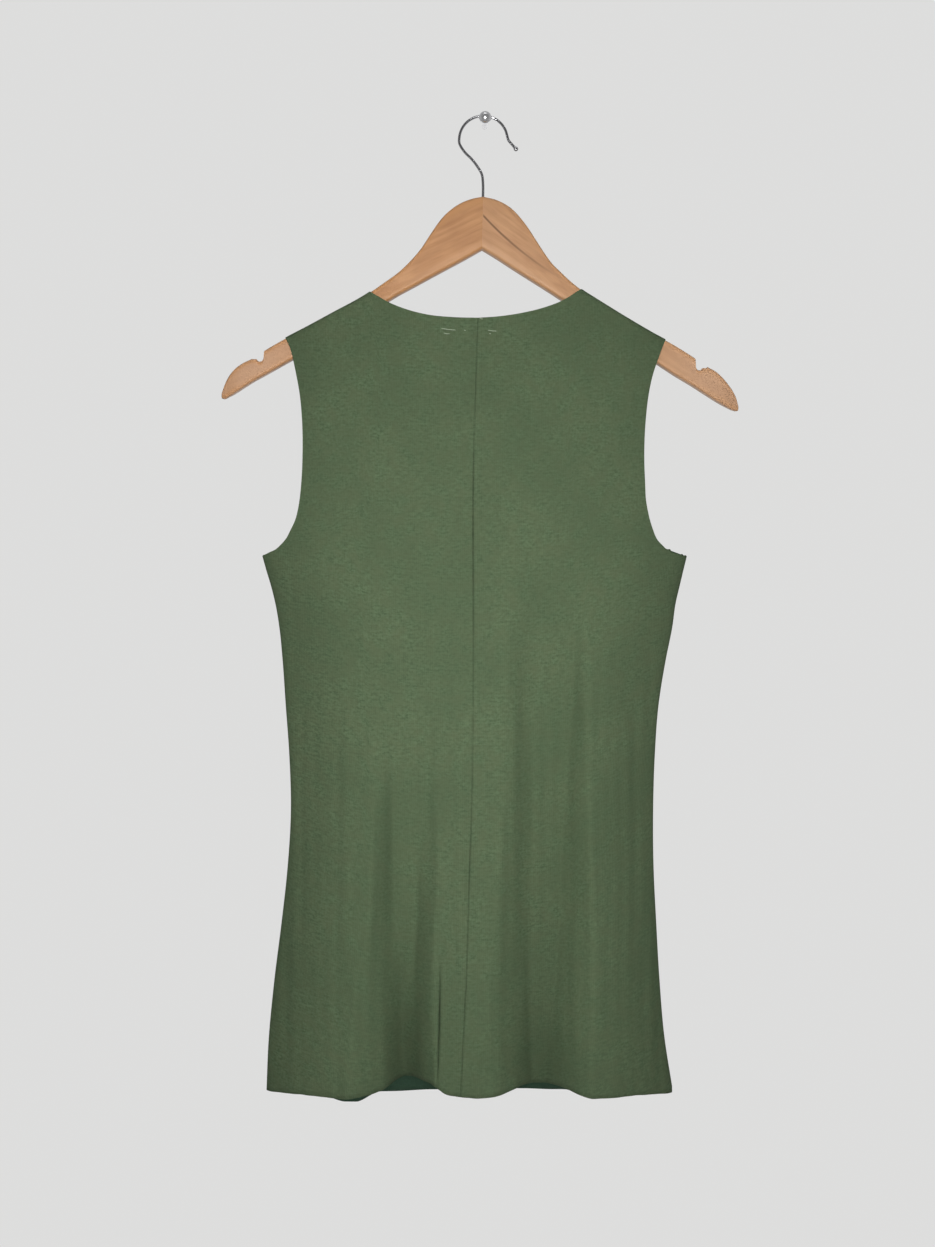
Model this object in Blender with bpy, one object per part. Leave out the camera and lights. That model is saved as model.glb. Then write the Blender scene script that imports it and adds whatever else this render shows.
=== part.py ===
"""A sleeveless jersey top, its back toward the viewer, on a wooden hanger that hangs on a wall pin.

Sizes are in metres. +X is to the viewer's right, +Y goes into the wall and +Z is up. The origin is
the centre of the pin's flat end, in the plane of the wall's face, and all of it is in front of that.
"""

from collections import namedtuple
from math import cos, pi, radians, sin, tan

import bmesh
import bpy
import numpy as np

# Sizes that several pieces share
GAP = 0.0003
CLOTH = 0.0011

# The pin in the wall
STEM_RADIUS = 0.0026
BALL_RADIUS = 0.0054
BALL_OUT = 0.0275
PIN_STEPS = 24
BALL_STEPS = 9

# How the hanger hangs: its middle plane in front of the wall, a little to one side of the pin's
# axis, and the slight turns it hangs at
WIRE_RADIUS = 0.0012
HANG_OUT = 0.018
HANG_SHIFT = -0.0007
HANG_DROP = STEM_RADIUS + GAP + WIRE_RADIUS
HANG_TILT = radians(0.92)
HANG_TURN = radians(1.5)

# The hanger's wood, in its own frame: out from the centre, and down from the top of the hook's wire
ARM_HALF_THICK = 0.0065
ARM_ROUND = 0.005
ARM_STATIONS = 30
ARM_CROWD = 1.35
ARM_CORNER_STEPS = 3
BEND_REACH = 0.2255
BEND_DEPTH = 0.004
TIP_FROM = 0.208
TIP_THIN = 0.45
BORE_RADIUS = WIRE_RADIUS + GAP
BORE_DEPTH = 0.012
BORE_STEPS = 16

Arm = namedtuple("Arm", "out top low")
ARM = {
    "left": (
        Arm(0.0000, 0.0713, 0.1168),
        Arm(0.0100, 0.0735, 0.1228),
        Arm(0.0240, 0.0803, 0.1308),
        Arm(0.0360, 0.0914, 0.1375),
        Arm(0.0440, 0.1030, 0.1420),
        Arm(0.0530, 0.1173, 0.1472),
        Arm(0.0640, 0.1304, 0.1534),
        Arm(0.0710, 0.1373, 0.1573),
        Arm(0.0850, 0.1480, 0.1663),
        Arm(0.0985, 0.1577, 0.1756),
        Arm(0.1300, 0.1759, 0.1957),
        Arm(0.1500, 0.1872, 0.2080),
        Arm(0.1690, 0.1975, 0.2190),
        Arm(0.1875, 0.2086, 0.2298),
        Arm(0.1965, 0.2148, 0.2349),
        Arm(0.2070, 0.2202, 0.2418),
        Arm(0.2130, 0.2248, 0.2458),
        Arm(0.2180, 0.2308, 0.2487),
        Arm(0.2215, 0.2375, 0.2506),
        Arm(0.2242, 0.2450, 0.2500),
    ),
    "right": (
        Arm(0.0000, 0.0713, 0.1168),
        Arm(0.0130, 0.0744, 0.1244),
        Arm(0.0255, 0.0815, 0.1322),
        Arm(0.0385, 0.0960, 0.1401),
        Arm(0.0470, 0.1085, 0.1452),
        Arm(0.0550, 0.1203, 0.1500),
        Arm(0.0610, 0.1281, 0.1536),
        Arm(0.0680, 0.1347, 0.1580),
        Arm(0.0740, 0.1403, 0.1617),
        Arm(0.0860, 0.1498, 0.1690),
        Arm(0.1000, 0.1583, 0.1775),
        Arm(0.1300, 0.1758, 0.1970),
        Arm(0.1500, 0.1869, 0.2100),
        Arm(0.1690, 0.1967, 0.2219),
        Arm(0.1875, 0.2077, 0.2325),
        Arm(0.1975, 0.2144, 0.2386),
        Arm(0.2060, 0.2188, 0.2437),
        Arm(0.2120, 0.2239, 0.2470),
        Arm(0.2175, 0.2300, 0.2499),
        Arm(0.2220, 0.2360, 0.2519),
        Arm(0.2252, 0.2425, 0.2525),
        Arm(0.2266, 0.2475, 0.2520),
    ),
}

# The strap notch in each arm
Notch = namedtuple("Notch", "out down")
NOTCH = (
    Notch(0.1878, 0.1990),
    Notch(0.1878, 0.2139),
    Notch(0.1883, 0.2152),
    Notch(0.1897, 0.2158),
    Notch(0.1940, 0.2160),
    Notch(0.1960, 0.2155),
    Notch(0.1970, 0.2139),
    Notch(0.1983, 0.1990),
)

# The hook, in the hanger's frame: a ring, a lifted tip at one end and a neck at the other
RING_RADIUS = 0.0211
RING_SHIFT = -0.0004
RING_FROM = 10
RING_TO = 190
RING_STEP = 15
HOOK_SPACING = 0.0028
TIP_BALL = 0.0021
HOOK_TIP = ((0.0272, -0.0273), (0.0243, -0.0241), (0.0214, -0.0206))
HOOK_NECK = (
    (-0.0199, -0.0273),
    (-0.0163, -0.0322),
    (-0.0103, -0.0380),
    (-0.0052, -0.0444),
    (-0.0014, -0.0508),
    (-0.0002, -0.0587),
    (0, -0.0640),
    (0, -0.0710),
)
HOOK_FOOT = ARM["left"][0].top + BORE_DEPTH - GAP

# The garment's edges, seen square on: x to either side of the pin, in its own columns
Edge = namedtuple("Edge", "z left right")
ARMHOLE = (
    Edge(-0.1900, -0.1731, 0.1572),
    Edge(-0.1980, -0.1692, 0.1540),
    Edge(-0.2060, -0.1670, 0.1511),
    Edge(-0.2230, -0.1633, 0.1454),
    Edge(-0.2400, -0.1602, 0.1418),
    Edge(-0.2620, -0.1581, 0.1392),
    Edge(-0.2920, -0.1575, 0.1378),
    Edge(-0.3180, -0.1586, 0.1385),
    Edge(-0.3310, -0.1599, 0.1391),
    Edge(-0.3400, -0.1614, 0.1406),
    Edge(-0.3480, -0.1634, 0.1424),
    Edge(-0.3570, -0.1675, 0.1453),
    Edge(-0.3655, -0.1722, 0.1491),
    Edge(-0.3700, -0.1763, 0.1534),
    Edge(-0.3742, -0.1812, 0.1581),
    Edge(-0.3768, -0.1870, 0.1655),
    Edge(-0.3795, -0.1936, 0.1765),
)
SIDE = (
    Edge(-0.3795, -0.1936, 0.1765),
    Edge(-0.3920, -0.1901, 0.1734),
    Edge(-0.4050, -0.1862, 0.1703),
    Edge(-0.4200, -0.1825, 0.1668),
    Edge(-0.4400, -0.1791, 0.1640),
    Edge(-0.4700, -0.1761, 0.1580),
    Edge(-0.5100, -0.1733, 0.1516),
    Edge(-0.5500, -0.1704, 0.1486),
    Edge(-0.6000, -0.1688, 0.1470),
    Edge(-0.6500, -0.1717, 0.1473),
    Edge(-0.7000, -0.1772, 0.1497),
    Edge(-0.7500, -0.1835, 0.1526),
    Edge(-0.8000, -0.1882, 0.1569),
    Edge(-0.8431, -0.1901, 0.1637),
)
CORNER_Z = {"left": -0.8431, "right": -0.8473}
FRONT_ARMHOLE_CUT = 0.006

Point = namedtuple("Point", "x z")
BACK_NECK = (
    Point(-0.0806, -0.1614),
    Point(-0.0685, -0.1660),
    Point(-0.0486, -0.1708),
    Point(-0.0287, -0.1727),
    Point(-0.0062, -0.1733),
    Point(0.0111, -0.1720),
    Point(0.0310, -0.1690),
    Point(0.0510, -0.1640),
    Point(0.0640, -0.1592),
)
NECK_POINT_X = {"left": -0.1003, "right": 0.0840}
FRONT_NECK_DROP = 0.082
FRONT_NECK_ROUND = 2.6

CENTRE_SEAM = (
    Point(-0.0062, -0.1733),
    Point(-0.0083, -0.2340),
    Point(-0.0102, -0.3060),
    Point(-0.0104, -0.4600),
    Point(-0.0115, -0.5790),
    Point(-0.0140, -0.6630),
    Point(-0.0163, -0.7410),
    Point(-0.0183, -0.7810),
    Point(-0.0212, -0.8400),
)

# Hems before the flutes lift or drop them
BACK_HEM = (
    Point(-0.1901, -0.8431),
    Point(-0.1650, -0.8395),
    Point(-0.1050, -0.8393),
    Point(-0.0100, -0.8395),
    Point(0.0780, -0.8405),
    Point(0.1280, -0.8417),
    Point(0.1480, -0.8440),
    Point(0.1637, -0.8473),
)
FRONT_HEM = (
    Point(-0.1901, -0.8431),
    Point(-0.1700, -0.8452),
    Point(-0.1400, -0.8472),
    Point(0.0000, -0.8472),
    Point(0.1200, -0.8475),
    Point(0.1637, -0.8473),
)
BACK_HEM_LIFT = 0.23
FRONT_HEM_DROP = 0.10

# How far the two layers stand off the hanger's middle plane, at each height. `roll` is how far in
# from the side seam the cloth turns, `back` and `front` what it has come out by there, `dome` what
# the back adds at its middle, `flat` how flat that dome is, and `sag` what the front adds.
Body = namedtuple("Body", "z roll back front dome flat sag")
BODY = (
    Body(-0.1500, 0.012, 0.0071, 0.0071, 0.000, 2.0, 0.000),
    Body(-0.2000, 0.012, 0.0071, 0.0071, 0.002, 2.0, 0.000),
    Body(-0.2600, 0.012, 0.0075, 0.0073, 0.008, 2.0, 0.001),
    Body(-0.3800, 0.013, 0.0090, 0.0076, 0.019, 2.0, 0.003),
    Body(-0.6000, 0.014, 0.0100, 0.0080, 0.024, 2.2, 0.005),
    Body(-0.7400, 0.020, 0.0120, 0.0080, 0.026, 2.6, 0.005),
    Body(-0.8500, 0.025, 0.0150, 0.0080, 0.024, 3.0, 0.005),
)
ROLL_SHAPE = 2.3

# The cloth's turn over the wood at the shoulder
SHOULDER_ROLL = 0.0065
SHOULDER_SHAPE = 2.5
SHOULDER_CLEAR = 0.0005

# The flutes of the lower edge: where each starts and ends across, over what run it deepens there,
# and how far it comes toward the viewer (minus is a trough)
Flute = namedtuple("Flute", "z left left_run right right_run out")
BACK_FLUTES = (
    (
        Flute(-0.5720, -0.099, 0.014, -0.073, 0.012, 0.000),
        Flute(-0.6400, -0.101, 0.018, -0.070, 0.015, -0.003),
        Flute(-0.6920, -0.102, 0.022, -0.052, 0.022, -0.007),
        Flute(-0.7430, -0.103, 0.027, -0.037, 0.015, -0.013),
        Flute(-0.7940, -0.104, 0.030, -0.0375, 0.008, -0.021),
        Flute(-0.8450, -0.104, 0.034, -0.0385, 0.005, -0.030),
    ),
    (
        Flute(-0.6920, -0.100, 0.022, -0.020, 0.040, 0.000),
        Flute(-0.7430, -0.104, 0.026, -0.013, 0.045, -0.002),
        Flute(-0.7940, -0.106, 0.028, -0.012, 0.048, -0.006),
        Flute(-0.8450, -0.107, 0.031, -0.010, 0.050, -0.011),
    ),
    (
        Flute(-0.4000, 0.034, 0.010, 0.054, 0.010, 0.000),
        Flute(-0.5400, 0.023, 0.011, 0.045, 0.011, -0.002),
        Flute(-0.6400, 0.019, 0.012, 0.042, 0.012, -0.003),
        Flute(-0.6920, 0.014, 0.015, 0.044, 0.017, -0.005),
        Flute(-0.7430, 0.010, 0.020, 0.063, 0.026, -0.010),
        Flute(-0.7940, 0.010, 0.026, 0.082, 0.034, -0.018),
        Flute(-0.8450, 0.011, 0.029, 0.086, 0.039, -0.030),
    ),
    (
        Flute(-0.6000, 0.080, 0.030, 0.140, 0.030, 0.000),
        Flute(-0.7430, 0.078, 0.033, 0.148, 0.036, 0.003),
        Flute(-0.8450, 0.074, 0.036, 0.156, 0.044, 0.007),
    ),
)
FRONT_FLUTES = (
    (
        Flute(-0.6000, -0.140, 0.022, -0.098, 0.022, 0.000),
        Flute(-0.7200, -0.146, 0.026, -0.096, 0.022, 0.007),
        Flute(-0.8500, -0.152, 0.030, -0.093, 0.017, 0.024),
    ),
    (
        Flute(-0.6300, 0.074, 0.018, 0.110, 0.018, 0.000),
        Flute(-0.7400, 0.072, 0.021, 0.115, 0.021, 0.006),
        Flute(-0.8500, 0.070, 0.026, 0.126, 0.026, 0.020),
    ),
)

# Where the panels' grid lines run: across from the centre seam or from side to side, and down
ACROSS_BACK = (
    0, 0.045, 0.088, 0.106, 0.126, 0.15, 0.19, 0.24, 0.30, 0.36, 0.42, 0.48, 0.53, 0.565,
    0.576, 0.58, 0.65, 0.72, 0.79, 0.85, 0.905, 0.948, 0.977, 0.994, 1,
)  # fmt: skip
NECK_SHARE_BACK = 0.58
ACROSS_FRONT_HALF = (
    0, 0.003, 0.012, 0.027, 0.05, 0.085, 0.125, 0.165, 0.21, 0.2107, 0.213, 0.22, 0.25, 0.30,
    0.35, 0.40, 0.45,
)  # fmt: skip
NECK_SHARE_FRONT = 0.21
ARMPIT_SHARE = 0.3
DOWN = (
    0, 0.0006, 0.0023, 0.0049, 0.0094, 0.022, 0.048, 0.08, 0.115, 0.15, 0.185, 0.22, 0.25,
    0.275, 0.29, ARMPIT_SHARE, 0.315, 0.34, 0.375, 0.42, 0.47, 0.53, 0.59, 0.65, 0.70, 0.75, 0.80,
    0.85, 0.90, 0.95, 1,
)  # fmt: skip

MATERIALS = {
    "cloth": ((0.105, 0.145, 0.080), 0.92, 0.0),
    "cloth_front": ((0.100, 0.138, 0.076), 0.92, 0.0),
    "wood": ((0.52, 0.31, 0.18), 0.55, 0.0),
    "wood_dark": ((0.48, 0.27, 0.15), 0.55, 0.0),
    "chrome": ((0.72, 0.72, 0.74), 0.18, 1.0),
}


def material(name):
    colour, rough, metal = MATERIALS[name]
    made = bpy.data.materials.new(name)
    made.diffuse_color = (*colour, 1)
    made.use_nodes = True
    shader = made.node_tree.nodes["Principled BSDF"]
    shader.inputs["Base Color"].default_value = (*colour, 1)
    shader.inputs["Roughness"].default_value = rough
    shader.inputs["Metallic"].default_value = metal
    return made


def place(name, bm, material_name):
    """Turn a bmesh into a smooth-shaded object."""
    mesh = bpy.data.meshes.new(name)
    bmesh.ops.recalc_face_normals(bm, faces=bm.faces)
    bm.to_mesh(mesh)
    bm.free()
    mesh.shade_smooth()
    mesh.set_sharp_from_angle(angle=radians(40))
    mesh.materials.append(material(material_name))
    made = bpy.data.objects.new(name, mesh)
    bpy.context.collection.objects.link(made)
    return made


def smooth(knots, marks, value):
    """Values on a smooth curve through the marks that stand at the rising knots."""
    knots, marks = np.asarray(knots, float), np.asarray(marks, float)
    slopes = np.gradient(marks, knots, axis=0)
    value = np.clip(value, knots[0], knots[-1])
    i = np.clip(np.searchsorted(knots, value) - 1, 0, len(knots) - 2)
    step = knots[i + 1] - knots[i]
    t = (value - knots[i]) / step
    if marks.ndim == 2:
        step, t = step[:, None], t[:, None]
    start = (1 + 2 * t) * (1 - t) ** 2 * marks[i] + t * (1 - t) ** 2 * step * slopes[i]
    end = t * t * (3 - 2 * t) * marks[i + 1] - t * t * (1 - t) * step * slopes[i + 1]
    return start + end


def track(rows, along, column, value):
    """A table's column, read where its column `along` has this value."""
    rows = sorted(rows, key=lambda row: getattr(row, along))
    knots = [getattr(row, along) for row in rows]
    return smooth(knots, [getattr(row, column) for row in rows], value)


def curve(points, share):
    """Points at these shares of the length of a smooth curve through the given points."""
    points = np.asarray(points, float)
    steps = np.linalg.norm(np.diff(points, axis=0), axis=1)
    length = np.concatenate([[0], np.cumsum(steps)])
    return smooth(length / length[-1], points, np.asarray(share, float))


def quarter(share, shape):
    """How far a rounded turn has come out, from 0 at its edge to 1 when it is done."""
    left = 1 - np.clip(share, 0, 1)
    return (1 - left**shape) ** (1 / shape)


def ease(share):
    share = np.clip(share, 0, 1)
    return share * share * (3 - 2 * share)


# The plane that the garment hangs from


def hung_z(out, down):
    """How high a place in the hanger's frame is."""
    return HANG_DROP - out * sin(HANG_TILT) - down * cos(HANG_TILT)


def middle_y(x):
    """The hanger's middle plane, which it turns and bends a little toward the wall at its ends."""
    x = x - HANG_SHIFT
    return -HANG_OUT + tan(HANG_TURN) * x + BEND_DEPTH * (x / BEND_REACH) ** 2


def arm_top(out):
    """How far down the top of the wood is, at a place out to the right or, below zero, the left."""
    left, right = (track(ARM[side], "out", "top", abs(out)) for side in ("left", "right"))
    return np.where(out < 0, left, right)


def shoulder_z(x):
    """The line that the cloth's inside follows just over the top of the wood."""
    across = (np.asarray(x, float) - HANG_SHIFT) / cos(HANG_TURN)
    out = across
    for _ in range(4):
        out = (across + arm_top(out) * sin(HANG_TILT)) / cos(HANG_TILT)
    return hung_z(out, arm_top(out)) + SHOULDER_CLEAR


def shoulder_seam(x):
    return np.stack([x, shoulder_z(x)], axis=1)


# The layers as heights over that plane


def side_x(z, side):
    """The side seam's x on the cloth's inside, straight up above the armpit."""
    inset = CLOTH if side == "left" else -CLOTH
    return track(SIDE, "z", side, z) + inset


def flutes(rows_of, x, z):
    """What a layer's flutes add toward the viewer."""
    total = np.zeros(np.shape(x))
    for rows in rows_of:
        left, right = track(rows, "z", "left", z), track(rows, "z", "right", z)
        rise = ease((x - left) / track(rows, "z", "left_run", z))
        fall = ease((right - x) / track(rows, "z", "right_run", z))
        total += track(rows, "z", "out", z) * rise * fall
    return total


def stand_off(x, z, layer):
    """How far a layer's turns at the shoulder and the side have brought it off the plane."""
    left, right = side_x(z, "left"), side_x(z, "right")
    inward = np.minimum(x - left, right - x)
    side_turn = quarter(inward / track(BODY, "z", "roll", z), ROLL_SHAPE)
    top_turn = quarter((shoulder_z(x) - z) / SHOULDER_ROLL, SHOULDER_SHAPE)
    middle, half = (left + right) / 2, (right - left) / 2
    across = np.clip(np.abs(x - middle) / half, 0, 1)
    body = track(BODY, "z", layer, z)
    if layer == "back":
        body += track(BODY, "z", "dome", z) * (1 - across ** track(BODY, "z", "flat", z))
    else:
        body += track(BODY, "z", "sag", z) * (1 - across**2)
    return side_turn * top_turn * body


def back_y(x, z):
    return middle_y(x) - stand_off(x, z, "back") - flutes(BACK_FLUTES, x, z)


def front_y(x, z):
    return middle_y(x) + stand_off(x, z, "front") - flutes(FRONT_FLUTES, x, z)


# The edges of the pieces, as x and z


def shoulder_tip(side):
    x = getattr(ARMHOLE[0], side)
    return np.array([x, float(shoulder_z(x))])


def neck_point(side):
    x = NECK_POINT_X[side]
    return np.array([x, float(shoulder_z(x))])


def outer_edge(side, cut=0.0):
    """From the shoulder's tip round the armhole, and down the side seam to the hem's corner."""
    inset = CLOTH if side == "left" else -CLOTH
    way = 1 if side == "left" else -1
    points = [(getattr(row, side), row.z) for row in ARMHOLE]
    points[0] = shoulder_tip(side)
    points[-1] = (points[-1][0] + inset, points[-1][1])

    def edge(share):
        armhole = curve(points, share / ARMPIT_SHARE)
        armhole[:, 0] += way * cut * np.sin(pi * np.clip(share / ARMPIT_SHARE, 0, 1)) ** 2
        below = (share - ARMPIT_SHARE) / (1 - ARMPIT_SHARE)
        z = SIDE[0].z + np.clip(below, 0, 1) * (CORNER_Z[side] - SIDE[0].z)
        seam = np.stack([side_x(z, side), z], axis=1)
        return np.where(share[:, None] <= ARMPIT_SHARE, armhole, seam)

    return edge


def centre_seam(side):
    """The centre-back seam, down from the neck, half a gap to one side of its line."""
    way = -0.5 if side == "left" else 0.5

    def edge(share):
        z = CENTRE_SEAM[0].z + share * (hem_z("back", CENTRE_SEAM[-1].x) - CENTRE_SEAM[0].z)
        return np.stack([track(CENTRE_SEAM, "z", "x", z) + way * GAP, z], axis=1)

    return edge


def hem_z(layer, x):
    if layer == "back":
        flute = np.minimum(flutes(BACK_FLUTES, x, BACK_HEM[0].z), 0)
        return track(BACK_HEM, "x", "z", x) - BACK_HEM_LIFT * flute
    flute = flutes(FRONT_FLUTES, x, FRONT_HEM[0].z)
    return track(FRONT_HEM, "x", "z", x) - FRONT_HEM_DROP * flute


def hem(layer, start_x, end_x):
    def edge(share):
        x = start_x + share * (end_x - start_x)
        return np.stack([x, hem_z(layer, x)], axis=1)

    return edge


def back_top(side):
    """The back neckline from the centre seam, and the shoulder seam from there to its tip."""
    way = -0.5 if side == "left" else 0.5
    centre = min(BACK_NECK, key=lambda row: row.z)
    half = [row for row in BACK_NECK if (row.x - centre.x) * way > 0]
    if side == "left":
        half.reverse()
    points = [(centre.x + way * GAP, centre.z), *half, neck_point(side)]

    def edge(share):
        neck = curve(points, np.clip(share / NECK_SHARE_BACK, 0, 1))
        run = np.clip((share - NECK_SHARE_BACK) / (1 - NECK_SHARE_BACK), 0, 1)
        start_x, tip_x = NECK_POINT_X[side], getattr(ARMHOLE[0], side)
        shoulder = shoulder_seam(start_x + run * (tip_x - start_x))
        return np.where(share[:, None] <= NECK_SHARE_BACK, neck, shoulder)

    return edge


def front_top(share):
    """The left shoulder seam, the scooped front neckline and the right shoulder seam."""
    left, right = neck_point("left"), neck_point("right")
    run = np.clip((share - NECK_SHARE_FRONT) / (1 - 2 * NECK_SHARE_FRONT), 0, 1)[:, None]
    scoop = left + run * (right - left)
    depth = 1 - np.abs(2 * run[:, 0] - 1) ** FRONT_NECK_ROUND
    scoop[:, 1] -= FRONT_NECK_DROP * depth
    for side, from_edge in (("left", share), ("right", 1 - share)):
        run = np.clip(from_edge / NECK_SHARE_FRONT, 0, 1)
        tip_x = getattr(ARMHOLE[0], side)
        shoulder = shoulder_seam(tip_x + run * (NECK_POINT_X[side] - tip_x))
        scoop = np.where(from_edge[:, None] <= NECK_SHARE_FRONT, shoulder, scoop)
    return scoop


def patch(top, bottom, start, end, across, down):
    """A grid of x and z that fills the space between four edges, in rows down and columns across."""
    across, down = np.asarray(across, float), np.asarray(down, float)
    u, v = across[None, :, None], down[:, None, None]
    high, low = top(across)[None], bottom(across)[None]
    first, last = start(down)[:, None], end(down)[:, None]
    corners = (1 - v) * ((1 - u) * high[:, :1] + u * high[:, -1:])
    corners = corners + v * ((1 - u) * low[:, :1] + u * low[:, -1:])
    return (1 - v) * high + v * low + (1 - u) * first + u * last - corners


def panel(name, grid, depth, seam_gap, material_name):
    """A cloth piece: a grid bent to its depth, given the cloth's thickness on its outside."""
    rows, columns = grid.shape[:2]
    x, z = grid[..., 0], grid[..., 1]
    y = depth(x.ravel(), z.ravel()).reshape(rows, columns) + seam_gap
    bm = bmesh.new()
    bmesh.ops.create_grid(bm, x_segments=columns - 1, y_segments=rows - 1, size=1)
    for vert in bm.verts:
        row = round((1 - vert.co.y) / 2 * (rows - 1))
        column = round((1 + vert.co.x) / 2 * (columns - 1))
        vert.co = (x[row, column], y[row, column], z[row, column])
    made = place(name, bm, material_name)
    if made.data.polygons[0].normal.y * seam_gap < 0:
        made.data.flip_normals()
    wall = made.modifiers.new("wall", "SOLIDIFY")
    wall.thickness = CLOTH
    wall.offset = 1
    return made


def back(side):
    end_x = side_x(CORNER_Z[side], side)
    start_x = CENTRE_SEAM[-1].x + (-0.5 if side == "left" else 0.5) * GAP
    grid = patch(
        back_top(side),
        hem("back", start_x, end_x),
        centre_seam(side),
        outer_edge(side),
        ACROSS_BACK,
        DOWN,
    )
    return panel(f"back_{side}", grid, back_y, -GAP / 2, "cloth")


def front():
    half = ACROSS_FRONT_HALF
    across = (*half, 0.5, *(1 - share for share in reversed(half)))
    ends = [side_x(CORNER_Z[side], side) for side in ("left", "right")]
    grid = patch(
        front_top,
        hem("front", *ends),
        outer_edge("left", FRONT_ARMHOLE_CUT),
        outer_edge("right", FRONT_ARMHOLE_CUT),
        across,
        DOWN,
    )
    return panel("front", grid, front_y, GAP / 2, "cloth_front")


# The hanger and the pin


def arm_ring(rows, out):
    """The points round an arm's cross-section: a rectangle with rounded corners."""
    top = -float(track(rows, "out", "top", out))
    low = -float(track(rows, "out", "low", out))
    thin = max(0.0, (out - TIP_FROM) / (rows[-1].out - TIP_FROM))
    deep = ARM_HALF_THICK * (1 - (1 - TIP_THIN) * thin**2)
    turn = min(ARM_ROUND, 0.98 * deep, 0.49 * (top - low))
    centres = (
        (deep - turn, top - turn),
        (turn - deep, top - turn),
        (turn - deep, low + turn),
        (deep - turn, low + turn),
    )
    bend = BEND_DEPTH * (out / BEND_REACH) ** 2
    points = []
    for corner, (y, z) in enumerate(centres):
        for step in range(ARM_CORNER_STEPS + 1):
            angle = pi / 2 * (corner + step / ARM_CORNER_STEPS)
            points.append((bend + y + turn * cos(angle), z + turn * sin(angle)))
    return points


def prism(outline, thick):
    """A closed shape from an outline in x and z, extruded both ways along y."""
    bm = bmesh.new()
    face = bm.faces.new([bm.verts.new((x, -thick, z)) for x, z in outline])
    grown = bmesh.ops.extrude_face_region(bm, geom=[face])
    for item in grown["geom"]:
        if isinstance(item, bmesh.types.BMVert):
            item.co.y = thick
    return bm


def cut(solid, name, bm):
    """Take a shape out of a solid with a Boolean, and leave the cutter as a guide."""
    tool = place(f"{name}_cutter", bm, "wood")
    tool.hide_render = True
    tool.display_type = "WIRE"
    tool.parent = solid
    hole = solid.modifiers.new(name, "BOOLEAN")
    hole.object = tool
    hole.operation = "DIFFERENCE"
    hole.solver = "EXACT"


def hanger_arm(side, hanger):
    way = -1 if side == "left" else 1
    reach = ARM[side][-1].out
    shares = 1 - (1 - np.linspace(0, 1, ARM_STATIONS)) ** ARM_CROWD
    bm = bmesh.new()
    rings = []
    for out in GAP / 2 + shares * (reach - GAP / 2):
        ring = [bm.verts.new((way * out, y, z)) for y, z in arm_ring(ARM[side], out)]
        rings.append(ring)
    for near, far in zip(rings, rings[1:]):
        for i in range(len(near)):
            j = (i + 1) % len(near)
            bm.faces.new((near[i], near[j], far[j], far[i]))
    bm.faces.new(rings[0])
    bm.faces.new(reversed(rings[-1]))
    arm = place(f"hanger_arm_{side}", bm, "wood_dark" if side == "left" else "wood")
    arm.parent = hanger
    notch = prism([(way * p.out, -p.down) for p in NOTCH], 2 * ARM_HALF_THICK)
    cut(arm, f"notch_{side}", notch)
    bore = bmesh.new()
    bmesh.ops.create_cone(
        bore,
        cap_ends=True,
        segments=BORE_STEPS,
        radius1=BORE_RADIUS,
        radius2=BORE_RADIUS,
        depth=2 * BORE_DEPTH,
    )
    bmesh.ops.translate(bore, vec=(0, 0, -ARM[side][0].top), verts=bore.verts)
    cut(arm, f"bore_{side}", bore)
    return arm


def hook(hanger):
    """The bent wire, as one path with a ball where it ends."""
    ring = []
    for angle in np.radians(np.arange(RING_FROM, RING_TO + 1, RING_STEP)):
        ring.append((RING_SHIFT + RING_RADIUS * cos(angle), RING_RADIUS * (sin(angle) - 1)))
    route = np.array([*HOOK_TIP, *ring, *HOOK_NECK, (0.0, -HOOK_FOOT)])
    length = np.linalg.norm(np.diff(route, axis=0), axis=1).sum()
    count = round(length / HOOK_SPACING)
    path = curve(route, np.linspace(0, 1, count))
    ahead = path[0] - path[1]
    ahead /= np.linalg.norm(ahead)
    ball = [-1.0, -0.72, -0.28, 0.28, 0.72]
    ball_centre = path[0] + ahead * TIP_BALL * 0.6
    shapes = [(ball_centre - ahead * TIP_BALL * t, TIP_BALL * (1 - t * t) ** 0.5) for t in ball[1:]]
    shapes.insert(0, (ball_centre + ahead * TIP_BALL * 0.97, TIP_BALL * 0.24))
    shapes += [(point, WIRE_RADIUS) for point in path[1:]]
    data = bpy.data.curves.new("hook", "CURVE")
    data.dimensions = "3D"
    data.bevel_depth = WIRE_RADIUS
    data.bevel_resolution = 3
    data.use_fill_caps = True
    spline = data.splines.new("POLY")
    spline.points.add(len(shapes) - 1)
    for point, (place_at, radius) in zip(spline.points, shapes):
        point.co = (place_at[0], 0, place_at[1], 1)
        point.radius = radius / WIRE_RADIUS
    data.materials.append(material("chrome"))
    made = bpy.data.objects.new("hook", data)
    bpy.context.collection.objects.link(made)
    made.parent = hanger
    return made


def wall_pin():
    """The stem and ball, turned about the pin's axis."""
    start = np.arcsin(STEM_RADIUS / BALL_RADIUS)
    bm = bmesh.new()
    profile = [(0, 0), (STEM_RADIUS, 0)]
    for angle in np.linspace(start, pi, BALL_STEPS):
        profile.append((BALL_RADIUS * sin(angle), -BALL_OUT + BALL_RADIUS * cos(angle)))
    profile[-1] = (0, -BALL_OUT - BALL_RADIUS)
    verts = [bm.verts.new((r, y, 0)) for r, y in profile]
    edges = [bm.edges.new(pair) for pair in zip(verts, verts[1:])]
    bmesh.ops.spin(
        bm, geom=verts + edges, cent=(0, 0, 0), axis=(0, 1, 0), angle=2 * pi, steps=PIN_STEPS
    )
    bmesh.ops.remove_doubles(bm, verts=bm.verts, dist=1e-6)
    return place("wall_pin", bm, "chrome")


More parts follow.
